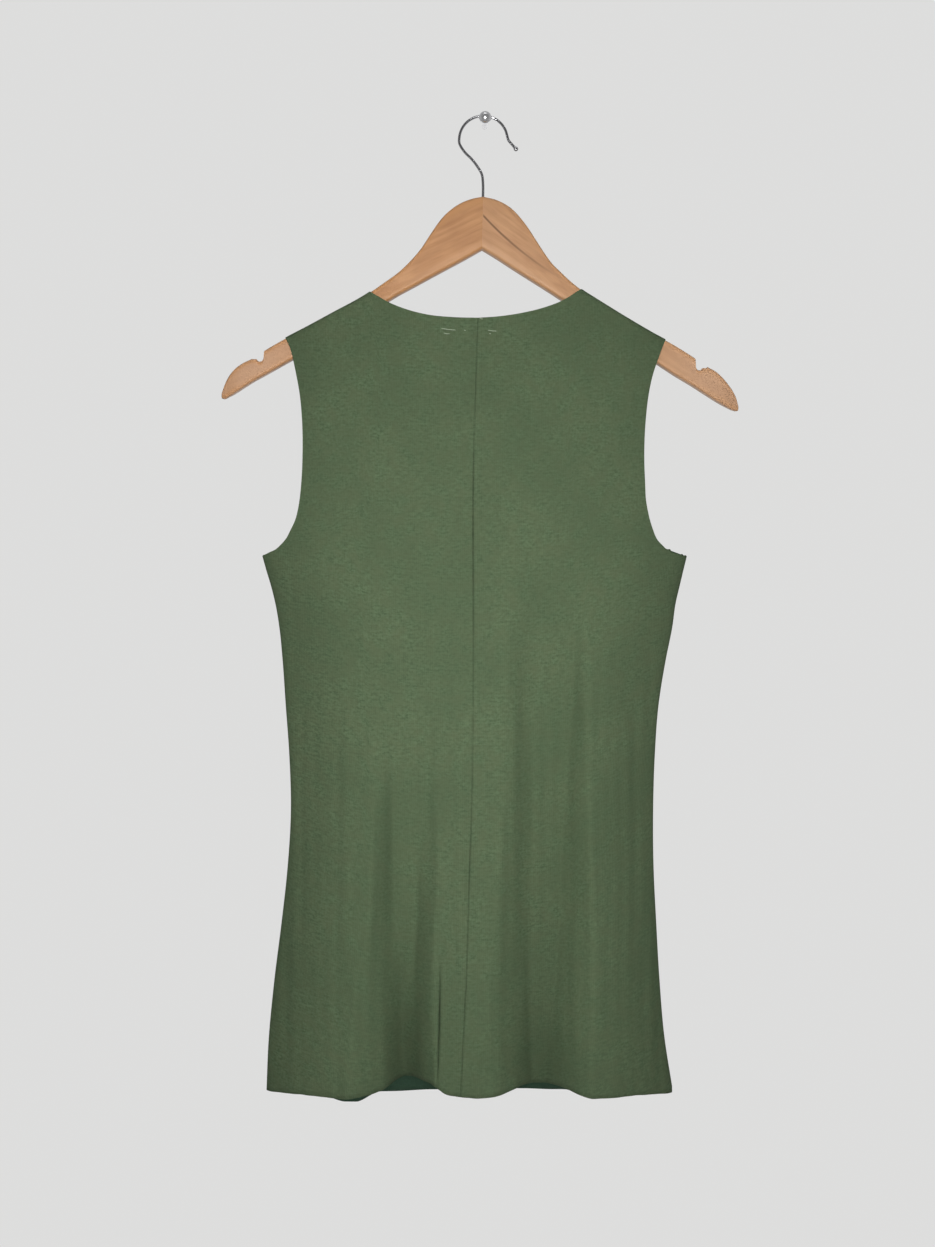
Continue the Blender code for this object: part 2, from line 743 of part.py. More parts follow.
def main():
    for made in list(bpy.data.objects):
        bpy.data.objects.remove(made, do_unlink=True)
    hanger = bpy.data.objects.new("hanger", None)
    bpy.context.collection.objects.link(hanger)
    hanger.location = (HANG_SHIFT, -HANG_OUT, HANG_DROP)
    hanger.rotation_euler = (0, HANG_TILT, HANG_TURN)
    wall_pin()
    hook(hanger)
    for side in ("left", "right"):
        hanger_arm(side, hanger)
        back(side)
    front()


main()
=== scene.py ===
from collections import namedtuple
from math import cos, pi, radians, sin, tan

import bmesh
import bpy
import numpy as np
from mathutils import Matrix, Vector


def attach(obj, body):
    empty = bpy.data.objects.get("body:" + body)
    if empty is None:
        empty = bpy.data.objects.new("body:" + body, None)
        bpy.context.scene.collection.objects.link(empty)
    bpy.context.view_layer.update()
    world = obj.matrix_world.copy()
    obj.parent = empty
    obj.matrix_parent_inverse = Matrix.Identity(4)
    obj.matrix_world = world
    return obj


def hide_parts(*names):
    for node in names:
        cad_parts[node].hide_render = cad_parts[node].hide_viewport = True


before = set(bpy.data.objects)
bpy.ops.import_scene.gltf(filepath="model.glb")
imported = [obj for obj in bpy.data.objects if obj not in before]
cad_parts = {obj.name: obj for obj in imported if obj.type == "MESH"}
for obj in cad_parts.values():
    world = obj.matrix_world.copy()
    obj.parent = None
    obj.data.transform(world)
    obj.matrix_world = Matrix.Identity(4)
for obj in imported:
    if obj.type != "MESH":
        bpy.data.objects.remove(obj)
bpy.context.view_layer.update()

# A jersey top on a wooden hanger, seen from its back. Sizes are in metres, +X to the viewer's
# right, +Y into the wall and +Z up, from the centre of the wall pin's flat end.


def table(kind, *rows):
    """Rows whose columns have names."""
    return tuple(kind(*row) for row in rows)


# Sizes that several pieces share
GAP = 0.0003
JERSEY = 0.0009

STEM_RADIUS = 0.0026
BALL_RADIUS = 0.0054
BALL_OUT = 0.0275

WIRE_RADIUS = 0.0012
HANG_OUT = 0.018
HANG_SHIFT = -0.0007
HANG_DROP = STEM_RADIUS + GAP + WIRE_RADIUS
HANG_TILT = radians(0.92)
HANG_TURN = radians(1.5)

# The hanger's wood: out from the centre, and down from the top of the hook's wire
ARM_HALF_THICK = 0.0065
ARM_ROUND = 0.0030
BEND_REACH = 0.2255
BEND_DEPTH = 0.004
TIP_FROM = 0.208
TIP_THIN = 0.45
BORE_RADIUS = WIRE_RADIUS + GAP
BORE_DEPTH = 0.012

Arm = namedtuple("Arm", "out top low")
ARM = {
    "left": table(
        Arm,
        (0.0000, 0.0713, 0.1168),
        (0.0100, 0.0735, 0.1228),
        (0.0240, 0.0803, 0.1308),
        (0.0360, 0.0914, 0.1375),
        (0.0440, 0.1030, 0.1420),
        (0.0530, 0.1173, 0.1472),
        (0.0640, 0.1304, 0.1534),
        (0.0710, 0.1373, 0.1573),
        (0.0850, 0.1480, 0.1663),
        (0.0985, 0.1577, 0.1756),
        (0.1300, 0.1759, 0.1957),
        (0.1500, 0.1872, 0.2080),
        (0.1690, 0.1975, 0.2190),
        (0.1875, 0.2086, 0.2298),
        (0.1965, 0.2148, 0.2349),
        (0.2070, 0.2202, 0.2418),
        (0.2130, 0.2248, 0.2458),
        (0.2180, 0.2308, 0.2487),
        (0.2215, 0.2375, 0.2506),
        (0.2242, 0.2450, 0.2500),
    ),
    "right": table(
        Arm,
        (0.0000, 0.0713, 0.1168),
        (0.0130, 0.0744, 0.1244),
        (0.0255, 0.0815, 0.1322),
        (0.0385, 0.0960, 0.1401),
        (0.0470, 0.1085, 0.1452),
        (0.0550, 0.1203, 0.1500),
        (0.0610, 0.1281, 0.1536),
        (0.0680, 0.1347, 0.1580),
        (0.0740, 0.1403, 0.1617),
        (0.0860, 0.1498, 0.1690),
        (0.1000, 0.1583, 0.1775),
        (0.1300, 0.1758, 0.1970),
        (0.1500, 0.1869, 0.2100),
        (0.1690, 0.1967, 0.2219),
        (0.1875, 0.2077, 0.2325),
        (0.1975, 0.2144, 0.2386),
        (0.2060, 0.2188, 0.2437),
        (0.2120, 0.2239, 0.2470),
        (0.2175, 0.2300, 0.2499),
        (0.2220, 0.2360, 0.2519),
        (0.2252, 0.2425, 0.2525),
        (0.2266, 0.2475, 0.2520),
    ),
}
JOINT = 0.00003
NOTCH_FROM, NOTCH_TO, NOTCH_FLOOR, NOTCH_WALL = 0.1876, 0.1984, 0.2159, 0.0007
SCOOP_AT, SCOOP_REACH, SCOOP_DEPTH = 0.1914, 0.0027, 0.0020
ARM_RINGS = 90
ARM_CROWD = 1.35
TURN_STEPS = 6
FACE_STEPS = 6

# The hook, in the hanger's frame
RING_RADIUS = 0.0211
RING_SHIFT = -0.0004
TIP_BALL = 0.0021
HOOK_TIP = ((0.0272, -0.0273), (0.0243, -0.0241), (0.0214, -0.0206))
HOOK_NECK = (
    (-0.0199, -0.0273),
    (-0.0163, -0.0322),
    (-0.0103, -0.0380),
    (-0.0052, -0.0444),
    (-0.0014, -0.0508),
    (-0.0002, -0.0587),
    (0, -0.0640),
    (0, -0.0710),
)
HOOK_FOOT = ARM["left"][0].top + BORE_DEPTH - GAP

# The garment's edges, seen square on
Edge = namedtuple("Edge", "z left right")
ARMHOLE = table(
    Edge,
    (-0.1900, -0.1731, 0.1572),
    (-0.1980, -0.1692, 0.1540),
    (-0.2060, -0.1670, 0.1511),
    (-0.2230, -0.1633, 0.1454),
    (-0.2400, -0.1602, 0.1418),
    (-0.2620, -0.1581, 0.1392),
    (-0.2920, -0.1575, 0.1378),
    (-0.3180, -0.1586, 0.1385),
    (-0.3310, -0.1599, 0.1391),
    (-0.3400, -0.1614, 0.1406),
    (-0.3480, -0.1634, 0.1424),
    (-0.3570, -0.1675, 0.1453),
    (-0.3655, -0.1722, 0.1491),
    (-0.3700, -0.1763, 0.1534),
    (-0.3742, -0.1812, 0.1581),
    (-0.3768, -0.1870, 0.1655),
    (-0.3795, -0.1936, 0.1765),
)
SIDE = table(
    Edge,
    (-0.3795, -0.1936, 0.1765),
    (-0.3920, -0.1901, 0.1734),
    (-0.4050, -0.1862, 0.1703),
    (-0.4200, -0.1825, 0.1668),
    (-0.4400, -0.1791, 0.1640),
    (-0.4700, -0.1761, 0.1580),
    (-0.5100, -0.1733, 0.1516),
    (-0.5500, -0.1704, 0.1486),
    (-0.6000, -0.1688, 0.1470),
    (-0.6500, -0.1717, 0.1473),
    (-0.7000, -0.1772, 0.1497),
    (-0.7500, -0.1835, 0.1526),
    (-0.8000, -0.1882, 0.1569),
    (-0.8431, -0.1901, 0.1637),
)
CORNER_Z = {"left": -0.8431, "right": -0.8473}
FRONT_ARMHOLE_CUT = 0.006

Point = namedtuple("Point", "x z")
BACK_NECK = table(
    Point,
    (-0.0806, -0.1614),
    (-0.0685, -0.1660),
    (-0.0486, -0.1708),
    (-0.0287, -0.1727),
    (-0.0062, -0.1733),
    (0.0111, -0.1720),
    (0.0310, -0.1690),
    (0.0510, -0.1640),
    (0.0640, -0.1592),
)
NECK_POINT_X = {"left": -0.1003, "right": 0.0840}
FRONT_NECK_DROP = 0.082
FRONT_NECK_ROUND = 2.6
CENTRE_SEAM = table(
    Point,
    (-0.0062, -0.1733),
    (-0.0083, -0.2340),
    (-0.0102, -0.3060),
    (-0.0104, -0.4600),
    (-0.0115, -0.5790),
    (-0.0140, -0.6630),
    (-0.0163, -0.7410),
    (-0.0183, -0.7810),
    (-0.0212, -0.8400),
)
BACK_HEM = table(
    Point,
    (-0.1901, -0.8431),
    (-0.1642, -0.8412),
    (-0.1387, -0.8405),
    (-0.1197, -0.8406),
    (-0.1036, -0.8391),
    (-0.0945, -0.8380),
    (-0.0854, -0.8357),
    (-0.0762, -0.8315),
    (-0.0690, -0.8299),
    (-0.0573, -0.8292),
    (-0.0451, -0.8300),
    (-0.0408, -0.8322),
    (-0.0360, -0.8360),
    (-0.0259, -0.8390),
    (-0.0106, -0.8407),
    (0.0047, -0.8401),
    (0.0158, -0.8385),
    (0.0245, -0.8371),
    (0.0316, -0.8360),
    (0.0387, -0.8360),
    (0.0491, -0.8361),
    (0.0602, -0.8365),
    (0.0714, -0.8377),
    (0.0776, -0.8392),
    (0.0820, -0.8402),
    (0.1062, -0.8424),
    (0.1288, -0.8430),
    (0.1489, -0.8451),
    (0.1637, -0.8473),
)
FRONT_HEM = table(
    Point,
    (-0.1901, -0.8431),
    (-0.1700, -0.8452),
    (-0.1400, -0.8472),
    (0.0000, -0.8472),
    (0.1200, -0.8475),
    (0.1637, -0.8473),
)
FRONT_HEM_DROP = 0.10

# How far the layers stand off the hanger's middle plane at each height
Body = namedtuple("Body", "z roll back front dome flat sag")
BODY = table(
    Body,
    (-0.1500, 0.012, 0.0071, 0.0071, 0.000, 2.0, 0.000),
    (-0.2000, 0.012, 0.0071, 0.0071, 0.002, 2.0, 0.000),
    (-0.2600, 0.012, 0.0075, 0.0073, 0.008, 2.0, 0.001),
    (-0.3800, 0.013, 0.0090, 0.0076, 0.019, 2.0, 0.003),
    (-0.6000, 0.014, 0.0100, 0.0080, 0.024, 2.2, 0.005),
    (-0.7400, 0.020, 0.0120, 0.0080, 0.026, 2.6, 0.005),
    (-0.8500, 0.025, 0.0150, 0.0080, 0.024, 3.0, 0.005),
)
ROLL_SHAPE = 2.3

# How much of that stand-off the flanks gather slowly, and how far in from the side seam
Flank = namedtuple("Flank", "z share")
FLANK = (Flank(-0.2600, 0.0), Flank(-0.3800, 0.30), Flank(-0.4600, 0.60), Flank(-0.8500, 0.60))
FLANK_REACH = 0.085
FLANK_SHAPE = 1.7
SHOULDER_ROLL = 0.0065
SHOULDER_SHAPE = 2.5
SHOULDER_CLEAR = 0.0005

# The large flutes of the lower edge, as the cut pieces hang in them, and how crisp their walls are
CRISP = 0.5
Flute = namedtuple("Flute", "z left left_run right right_run out")
BACK_FLUTES = (
    table(
        Flute,
        (-0.4860, -0.0940, 0.026, -0.0360, 0.018, 0.0000),
        (-0.5380, -0.0960, 0.022, -0.0300, 0.018, -0.0030),
        (-0.5890, -0.0955, 0.018, -0.0310, 0.019, -0.0074),
        (-0.6400, -0.0970, 0.020, -0.0380, 0.018, -0.0104),
        (-0.6920, -0.1005, 0.024, -0.0420, 0.017, -0.0138),
        (-0.7430, -0.1090, 0.037, -0.0435, 0.020, -0.0150),
        (-0.7940, -0.1150, 0.041, -0.0430, 0.024, -0.0170),
        (-0.8450, -0.1140, 0.039, -0.0395, 0.024, -0.0190),
    ),
    table(
        Flute,
        (-0.6920, -0.0900, 0.018, -0.0440, 0.026, 0.000),
        (-0.7430, -0.0900, 0.018, -0.0440, 0.027, -0.005),
        (-0.7940, -0.0890, 0.018, -0.0430, 0.028, -0.012),
        (-0.8450, -0.0880, 0.018, -0.0400, 0.028, -0.016),
    ),
    table(
        Flute,
        (-0.4860, -0.1900, 0.080, -0.0700, 0.024, 0.0000),
        (-0.5380, -0.1850, 0.080, -0.0700, 0.024, 0.0020),
        (-0.5890, -0.1830, 0.080, -0.0785, 0.017, 0.0062),
        (-0.6400, -0.1830, 0.078, -0.0780, 0.019, 0.0095),
        (-0.6920, -0.1850, 0.078, -0.0775, 0.023, 0.0095),
        (-0.7430, -0.1880, 0.078, -0.0720, 0.037, 0.0095),
        (-0.7940, -0.1910, 0.076, -0.0740, 0.041, 0.0085),
        (-0.8450, -0.1930, 0.076, -0.0750, 0.039, 0.0070),
    ),
    table(
        Flute,
        (-0.3500, 0.0260, 0.028, 0.1040, 0.026, 0.0000),
        (-0.3840, 0.0230, 0.026, 0.0950, 0.018, -0.0030),
        (-0.4350, 0.0200, 0.024, 0.0900, 0.015, -0.0058),
        (-0.4860, 0.0185, 0.021, 0.0885, 0.015, -0.0088),
        (-0.5380, 0.0170, 0.023, 0.0885, 0.017, -0.0118),
        (-0.5890, 0.0160, 0.025, 0.0885, 0.020, -0.0150),
        (-0.6400, 0.0125, 0.027, 0.0895, 0.024, -0.0178),
        (-0.6920, 0.0080, 0.030, 0.0930, 0.028, -0.0200),
        (-0.7430, 0.0040, 0.033, 0.0930, 0.032, -0.0220),
        (-0.7940, 0.0040, 0.036, 0.0910, 0.036, -0.0260),
        (-0.8450, 0.0080, 0.034, 0.0900, 0.037, -0.0310),
    ),
    table(
        Flute,
        (-0.4350, 0.0750, 0.015, 0.1700, 0.060, 0.000),
        (-0.4860, 0.0735, 0.015, 0.1600, 0.060, 0.003),
        (-0.5890, 0.0685, 0.020, 0.1500, 0.056, 0.007),
        (-0.6920, 0.0650, 0.028, 0.1540, 0.060, 0.009),
        (-0.7430, 0.0610, 0.032, 0.1580, 0.064, 0.008),
        (-0.8450, 0.0540, 0.036, 0.1660, 0.070, 0.007),
    ),
)
FRONT_FLUTES = (
    table(
        Flute,
        (-0.6000, -0.140, 0.022, -0.098, 0.022, 0.000),
        (-0.7200, -0.146, 0.026, -0.096, 0.022, 0.007),
        (-0.8500, -0.152, 0.030, -0.093, 0.017, 0.024),
    ),
    table(
        Flute,
        (-0.6300, 0.074, 0.018, 0.110, 0.018, 0.000),
        (-0.7400, 0.072, 0.021, 0.115, 0.021, 0.006),
        (-0.8500, 0.070, 0.026, 0.126, 0.026, 0.020),
    ),
)

# The soft creases beside them
BACK_CREASES = (
    table(
        Flute,
        (-0.4400, -0.0440, 0.010, -0.0200, 0.010, 0.0000),
        (-0.5030, -0.0420, 0.010, -0.0210, 0.010, -0.0010),
        (-0.6000, -0.0420, 0.010, -0.0220, 0.010, -0.0016),
        (-0.6920, -0.0380, 0.008, -0.0220, 0.008, -0.0014),
        (-0.7600, -0.0380, 0.008, -0.0220, 0.008, 0.0000),
    ),
    table(
        Flute,
        (-0.3400, 0.0580, 0.014, 0.0860, 0.014, 0.0000),
        (-0.3650, 0.0620, 0.014, 0.0900, 0.014, -0.0012),
        (-0.4000, 0.0620, 0.014, 0.0900, 0.014, 0.0000),
    ),
    table(
        Flute,
        (-0.7150, -0.0402, 0.0015, -0.0366, 0.0024, 0.0000),
        (-0.7430, -0.0402, 0.0015, -0.0366, 0.0024, -0.0022),
        (-0.8200, -0.0420, 0.0015, -0.0384, 0.0024, -0.0022),
        (-0.8400, -0.0425, 0.0015, -0.0389, 0.0024, -0.0008),
    ),
    table(
        Flute,
        (-0.7600, -0.0300, 0.008, -0.0100, 0.012, 0.0000),
        (-0.8000, -0.0300, 0.008, -0.0100, 0.012, -0.0010),
        (-0.8450, -0.0300, 0.008, -0.0080, 0.012, -0.0016),
    ),
    table(
        Flute,
        (-0.6920, 0.0300, 0.010, 0.0560, 0.012, 0.0000),
        (-0.7600, 0.0300, 0.010, 0.0580, 0.012, -0.0014),
        (-0.8450, 0.0300, 0.010, 0.0560, 0.012, -0.0020),
    ),
)
FRONT_CREASES = (
    table(
        Flute,
        (-0.4300, -0.088, 0.022, -0.030, 0.036, 0.0000),
        (-0.5400, -0.086, 0.022, -0.024, 0.036, -0.0014),
        (-0.6600, -0.080, 0.022, -0.020, 0.034, -0.0022),
        (-0.8500, -0.076, 0.026, -0.016, 0.034, -0.0030),
    ),
    table(
        Flute,
        (-0.4600, 0.006, 0.030, 0.060, 0.020, 0.0000),
        (-0.5800, 0.008, 0.030, 0.062, 0.020, -0.0016),
        (-0.7000, 0.006, 0.028, 0.060, 0.020, -0.0022),
        (-0.8500, 0.002, 0.026, 0.058, 0.022, -0.0030),
    ),
    table(
        Flute,
        (-0.3300, -0.060, 0.030, 0.044, 0.036, 0.0000),
        (-0.4200, -0.046, 0.026, 0.032, 0.030, 0.0016),
        (-0.5200, -0.040, 0.026, 0.028, 0.030, 0.0000),
    ),
)

# The faint folds and the unevenness of the whole cloth
FINE_TOP = -0.36
FINE_GROWTH = 0.20
FINE_WIDE = 0.00045
FINE_NARROW = 0.00022
RIPPLE = 0.00035

# Painted shade in the jersey's colour: darker in hollows from this depth on, and near the sides
PAINTED_SHADE_HOLLOW = 0.010
PAINTED_SHADE_RANGE = 0.024
PAINTED_SHADE_SHAPE = 1.3
PAINTED_SHADE_SIDE = 0.34
PAINTED_SHADE_REACH = 0.065

# The panels' grid lines, and how many finer ones run between each two
ACROSS_BACK = (
    0, 0.045, 0.088, 0.106, 0.126, 0.15, 0.19, 0.24, 0.30, 0.36, 0.42, 0.48, 0.53, 0.565,
    0.576, 0.58, 0.65, 0.72, 0.79, 0.85, 0.905, 0.948, 0.977, 0.994, 1,
)  # fmt: skip
NECK_SHARE_BACK = 0.58
ACROSS_FRONT_HALF = (
    0, 0.003, 0.012, 0.027, 0.05, 0.085, 0.125, 0.165, 0.21, 0.2107, 0.213, 0.22, 0.25, 0.30,
    0.35, 0.40, 0.45,
)  # fmt: skip
NECK_SHARE_FRONT = 0.21
ARMPIT_SHARE = 0.3
DOWN = (
    0, 0.0006, 0.0023, 0.0049, 0.0094, 0.022, 0.048, 0.08, 0.115, 0.15, 0.185, 0.22, 0.25,
    0.275, 0.29, ARMPIT_SHARE, 0.315, 0.34, 0.375, 0.42, 0.47, 0.53, 0.59, 0.65, 0.70, 0.75, 0.80,
    0.85, 0.90, 0.95, 1,
)  # fmt: skip
FINER_ACROSS = 5
FINER_DOWN_BACK = 7
FINER_DOWN_FRONT = 5

# The centre seam's groove. It is deeper where its stitches hold more, and the halves part a
# little where they hold more than OPEN_HOLD.
SEAM_WIDTH = 0.0010
SEAM_DEPTH = 0.0004
OPEN_GAP = 0.0004
OPEN_HOLD = 0.7
Hold = namedtuple("Hold", "z share")
SEAM_HOLD = table(
    Hold,
    (-0.1600, 0.15),
    (-0.2750, 0.20),
    (-0.3050, 1.35),
    (-0.4200, 1.35),
    (-0.4700, 0.70),
    (-0.6000, 0.70),
    (-0.6300, 1.25),
    (-0.6700, 1.10),
    (-0.7100, 0.62),
    (-0.7400, 0.90),
    (-0.8200, 0.90),
    (-0.8600, 0.60),
)

# The seam allowance pressed to each side of it, which stands a little proud
ALLOWANCE = 0.0060
ALLOWANCE_PROUD = 0.00022
ALLOWANCE_SOFT = 0.0008

# The label's stitches on the outside: start, end, and how proud each one stands
THREAD_RADIUS = 0.00030
LABEL_STITCHES = (
    ((-0.0382, -0.1828), (-0.0253, -0.1842), 0.9),
    ((-0.0362, -0.1868), (-0.0304, -0.1875), 0.5),
    ((-0.0180, -0.1842), (-0.0171, -0.1843), 0.8),
    ((0.0022, -0.1842), (0.0100, -0.1850), 0.9),
    ((0.0034, -0.1871), (0.0052, -0.1872), 0.5),
    ((-0.0048, -0.1737), (-0.0018, -0.1746), 0.6),
)


# Reading the tables


def smooth(knots, marks, value):
    """Values on a smooth curve through the marks that stand at the rising knots."""
    knots, marks = np.asarray(knots, float), np.asarray(marks, float)
    slopes = np.gradient(marks, knots, axis=0)
    value = np.clip(value, knots[0], knots[-1])
    i = np.clip(np.searchsorted(knots, value) - 1, 0, len(knots) - 2)
    step = knots[i + 1] - knots[i]
    t = (value - knots[i]) / step
    if marks.ndim == 2:
        step, t = step[:, None], t[:, None]
    start = (1 + 2 * t) * (1 - t) ** 2 * marks[i] + t * (1 - t) ** 2 * step * slopes[i]
    end = t * t * (3 - 2 * t) * marks[i + 1] - t * t * (1 - t) * step * slopes[i + 1]
    return start + end


def track(rows, along, column, value):
    """A table's column, read where its column `along` has this value."""
    rows = sorted(rows, key=lambda row: getattr(row, along))
    knots = [getattr(row, along) for row in rows]
    return smooth(knots, [getattr(row, column) for row in rows], value)


def curve(points, share):
    """Points at these shares of the length of a smooth curve through the given points."""
    points = np.asarray(points, float)
    steps = np.linalg.norm(np.diff(points, axis=0), axis=1)
    length = np.concatenate([[0], np.cumsum(steps)])
    return smooth(length / length[-1], points, np.asarray(share, float))


def quarter(share, shape):
    """How far a rounded turn has come out, from 0 at its edge to 1 when it is done."""
    left = 1 - np.clip(share, 0, 1)
    return (1 - left**shape) ** (1 / shape)


def ease(share):
    share = np.clip(share, 0, 1)
    return share * share * (3 - 2 * share)


def flute_wall(share):
    """A flute's wall: nearly straight, and turning quickly at its ends."""
    return CRISP * np.clip(share, 0, 1) + (1 - CRISP) * ease(share)


# How the garment hangs


def hung_z(out, down):
    return HANG_DROP - out * sin(HANG_TILT) - down * cos(HANG_TILT)


def middle_y(x):
    x = x - HANG_SHIFT
    return -HANG_OUT + tan(HANG_TURN) * x + BEND_DEPTH * (x / BEND_REACH) ** 2


def arm_top(out):
    left, right = (track(ARM[side], "out", "top", abs(out)) for side in ("left", "right"))
    return np.where(out < 0, left, right)


def shoulder_z(x):
    """The line that the cloth's inside follows just over the top of the wood."""
    across = (np.asarray(x, float) - HANG_SHIFT) / cos(HANG_TURN)
    out = across
    for _ in range(4):
        out = (across + arm_top(out) * sin(HANG_TILT)) / cos(HANG_TILT)
    return hung_z(out, arm_top(out)) + SHOULDER_CLEAR


def side_x(z, side):
    inset = JERSEY if side == "left" else -JERSEY
    return track(SIDE, "z", side, z) + inset


def flutes(rows_of, x, z):
    total = np.zeros(np.shape(x))
    for rows in rows_of:
        left, right = track(rows, "z", "left", z), track(rows, "z", "right", z)
        rise = flute_wall((x - left) / track(rows, "z", "left_run", z))
        fall = flute_wall((right - x) / track(rows, "z", "right_run", z))
        total += track(rows, "z", "out", z) * rise * fall
    return total


def stand_off(x, z, layer):
    left, right = side_x(z, "left"), side_x(z, "right")
    inward = np.minimum(x - left, right - x)
    edge_turn = quarter(inward / track(BODY, "z", "roll", z), ROLL_SHAPE)
    flank_turn = quarter(inward / FLANK_REACH, FLANK_SHAPE)
    side_turn = edge_turn - track(FLANK, "z", "share", z) * (edge_turn - flank_turn)
    top_turn = quarter((shoulder_z(x) - z) / SHOULDER_ROLL, SHOULDER_SHAPE)
    middle, half = (left + right) / 2, (right - left) / 2
    across = np.clip(np.abs(x - middle) / half, 0, 1)
    body = track(BODY, "z", layer, z)
    if layer == "back":
        body += track(BODY, "z", "dome", z) * (1 - across ** track(BODY, "z", "flat", z))
    else:
        body += track(BODY, "z", "sag", z) * (1 - across**2)
        side_turn = edge_turn
    return side_turn * top_turn * body


def seam_draw(x, z):
    """How far the centre seam's stitches hold the cloth in, a little unevenly down its length."""
    off = np.abs(x - track(CENTRE_SEAM, "z", "x", z))
    pucker = 1 + 0.25 * np.sin(z * 410) + 0.2 * np.sin(z * 173 + 1)
    under = ease((ALLOWANCE + ALLOWANCE_SOFT - off) / ALLOWANCE_SOFT)
    drawn = SEAM_DEPTH * track(SEAM_HOLD, "z", "share", z) * pucker
    return drawn * (1 - ease(off / SEAM_WIDTH)) - ALLOWANCE_PROUD * under


def ripple(x, z):
    """The faint unevenness of jersey that hangs under its own weight."""
    return RIPPLE * np.sin(x * 43 + 1.3 * np.sin(z * 17)) * np.sin(z * 23 + 0.8 * np.sin(x * 31))


def fine_flutes(x, z):
    """Faint upright folds between the large ones, growing from the chest towards the hem."""
    grown = ease((FINE_TOP - z) / FINE_GROWTH)
    wander = 1.2 * np.sin(z * 11) + 0.8 * np.sin(z * 29 + 2)
    wide = FINE_WIDE * np.sin(x * 330 + wander) * np.sin(x * 61 + 0.7 + 2 * z)
    narrow = FINE_NARROW * np.sin(x * 570 - wander)
    return grown * (wide + narrow)


def back_y(x, z):
    out = stand_off(x, z, "back") + flutes(BACK_FLUTES, x, z) + flutes(BACK_CREASES, x, z)
    out += fine_flutes(x, z)
    return middle_y(x) - out - ripple(x, z) + seam_draw(x, z)


def front_y(x, z):
    return (
        middle_y(x)
        + stand_off(x, z, "front")
        - flutes(FRONT_FLUTES, x, z)
        - flutes(FRONT_CREASES, x, z)
        + ripple(x + 0.05, z)
    )


def painted_shade(x, z, hollows):
    """Painted shade: how much darker the jersey is painted in the hollows of the flutes and towards
    the sides.
    """
    deep = np.clip((-flutes(hollows, x, z) - PAINTED_SHADE_HOLLOW) / PAINTED_SHADE_RANGE, 0, 1) ** PAINTED_SHADE_SHAPE
    inward = np.minimum(x - side_x(z, "left"), side_x(z, "right") - x)
    return np.clip(deep + PAINTED_SHADE_SIDE * (1 - ease(inward / PAINTED_SHADE_REACH)), 0, 1)


# The edges of the cut pieces, as x and z


def shoulder_tip(side):
    x = getattr(ARMHOLE[0], side)
    return np.array([x, float(shoulder_z(x))])


def neck_point(side):
    x = NECK_POINT_X[side]
    return np.array([x, float(shoulder_z(x))])


def shoulder_seam(x):
    return np.stack([x, shoulder_z(x)], axis=1)


def outer_edge(side, cut=0.0):
    """From the shoulder's tip round the armhole, and down the side seam to the hem's corner."""
    inset = JERSEY if side == "left" else -JERSEY
    way = 1 if side == "left" else -1
    points = [(getattr(row, side), row.z) for row in ARMHOLE]
    points[0] = shoulder_tip(side)
    points[-1] = (points[-1][0] + inset, points[-1][1])

    def edge(share):
        armhole = curve(points, share / ARMPIT_SHARE)
        armhole[:, 0] += way * cut * np.sin(pi * np.clip(share / ARMPIT_SHARE, 0, 1)) ** 2
        below = (share - ARMPIT_SHARE) / (1 - ARMPIT_SHARE)
        z = SIDE[0].z + np.clip(below, 0, 1) * (CORNER_Z[side] - SIDE[0].z)
        seam = np.stack([side_x(z, side), z], axis=1)
        return np.where(share[:, None] <= ARMPIT_SHARE, armhole, seam)

    return edge


def centre_seam(side):
    way = -0.5 if side == "left" else 0.5

    def edge(share):
        z = CENTRE_SEAM[0].z + share * (hem_z("back", CENTRE_SEAM[-1].x) - CENTRE_SEAM[0].z)
        parted = OPEN_GAP * np.clip(track(SEAM_HOLD, "z", "share", z) - OPEN_HOLD, 0, 1)
        return np.stack([track(CENTRE_SEAM, "z", "x", z) + way * parted, z], axis=1)

    return edge


def hem_z(layer, x):
    if layer == "back":
        return track(BACK_HEM, "x", "z", x)
    flute = flutes(FRONT_FLUTES, x, FRONT_HEM[0].z)
    return track(FRONT_HEM, "x", "z", x) - FRONT_HEM_DROP * flute


def hem(layer, start_x, end_x):
    def edge(share):
        x = start_x + share * (end_x - start_x)
        return np.stack([x, hem_z(layer, x)], axis=1)

    return edge


def back_top(side):
    """The back neckline from the centre seam, and the shoulder seam from there to its tip."""
    way = -0.5 if side == "left" else 0.5
    centre = min(BACK_NECK, key=lambda row: row.z)
    half = [row for row in BACK_NECK if (row.x - centre.x) * way > 0]
    if side == "left":
        half.reverse()
    points = [centre, *half, neck_point(side)]

    def edge(share):
        neck = curve(points, np.clip(share / NECK_SHARE_BACK, 0, 1))
        run = np.clip((share - NECK_SHARE_BACK) / (1 - NECK_SHARE_BACK), 0, 1)
        start_x, tip_x = NECK_POINT_X[side], getattr(ARMHOLE[0], side)
        shoulder = shoulder_seam(start_x + run * (tip_x - start_x))
        return np.where(share[:, None] <= NECK_SHARE_BACK, neck, shoulder)

    return edge


def front_top(share):
    """The left shoulder seam, the scooped front neckline and the right shoulder seam."""
    left, right = neck_point("left"), neck_point("right")
    run = np.clip((share - NECK_SHARE_FRONT) / (1 - 2 * NECK_SHARE_FRONT), 0, 1)[:, None]
    scoop = left + run * (right - left)
    depth = 1 - np.abs(2 * run[:, 0] - 1) ** FRONT_NECK_ROUND
    scoop[:, 1] -= FRONT_NECK_DROP * depth
    for side, from_edge in (("left", share), ("right", 1 - share)):
        run = np.clip(from_edge / NECK_SHARE_FRONT, 0, 1)
        tip_x = getattr(ARMHOLE[0], side)
        shoulder = shoulder_seam(tip_x + run * (NECK_POINT_X[side] - tip_x))
        scoop = np.where(from_edge[:, None] <= NECK_SHARE_FRONT, shoulder, scoop)
    return scoop


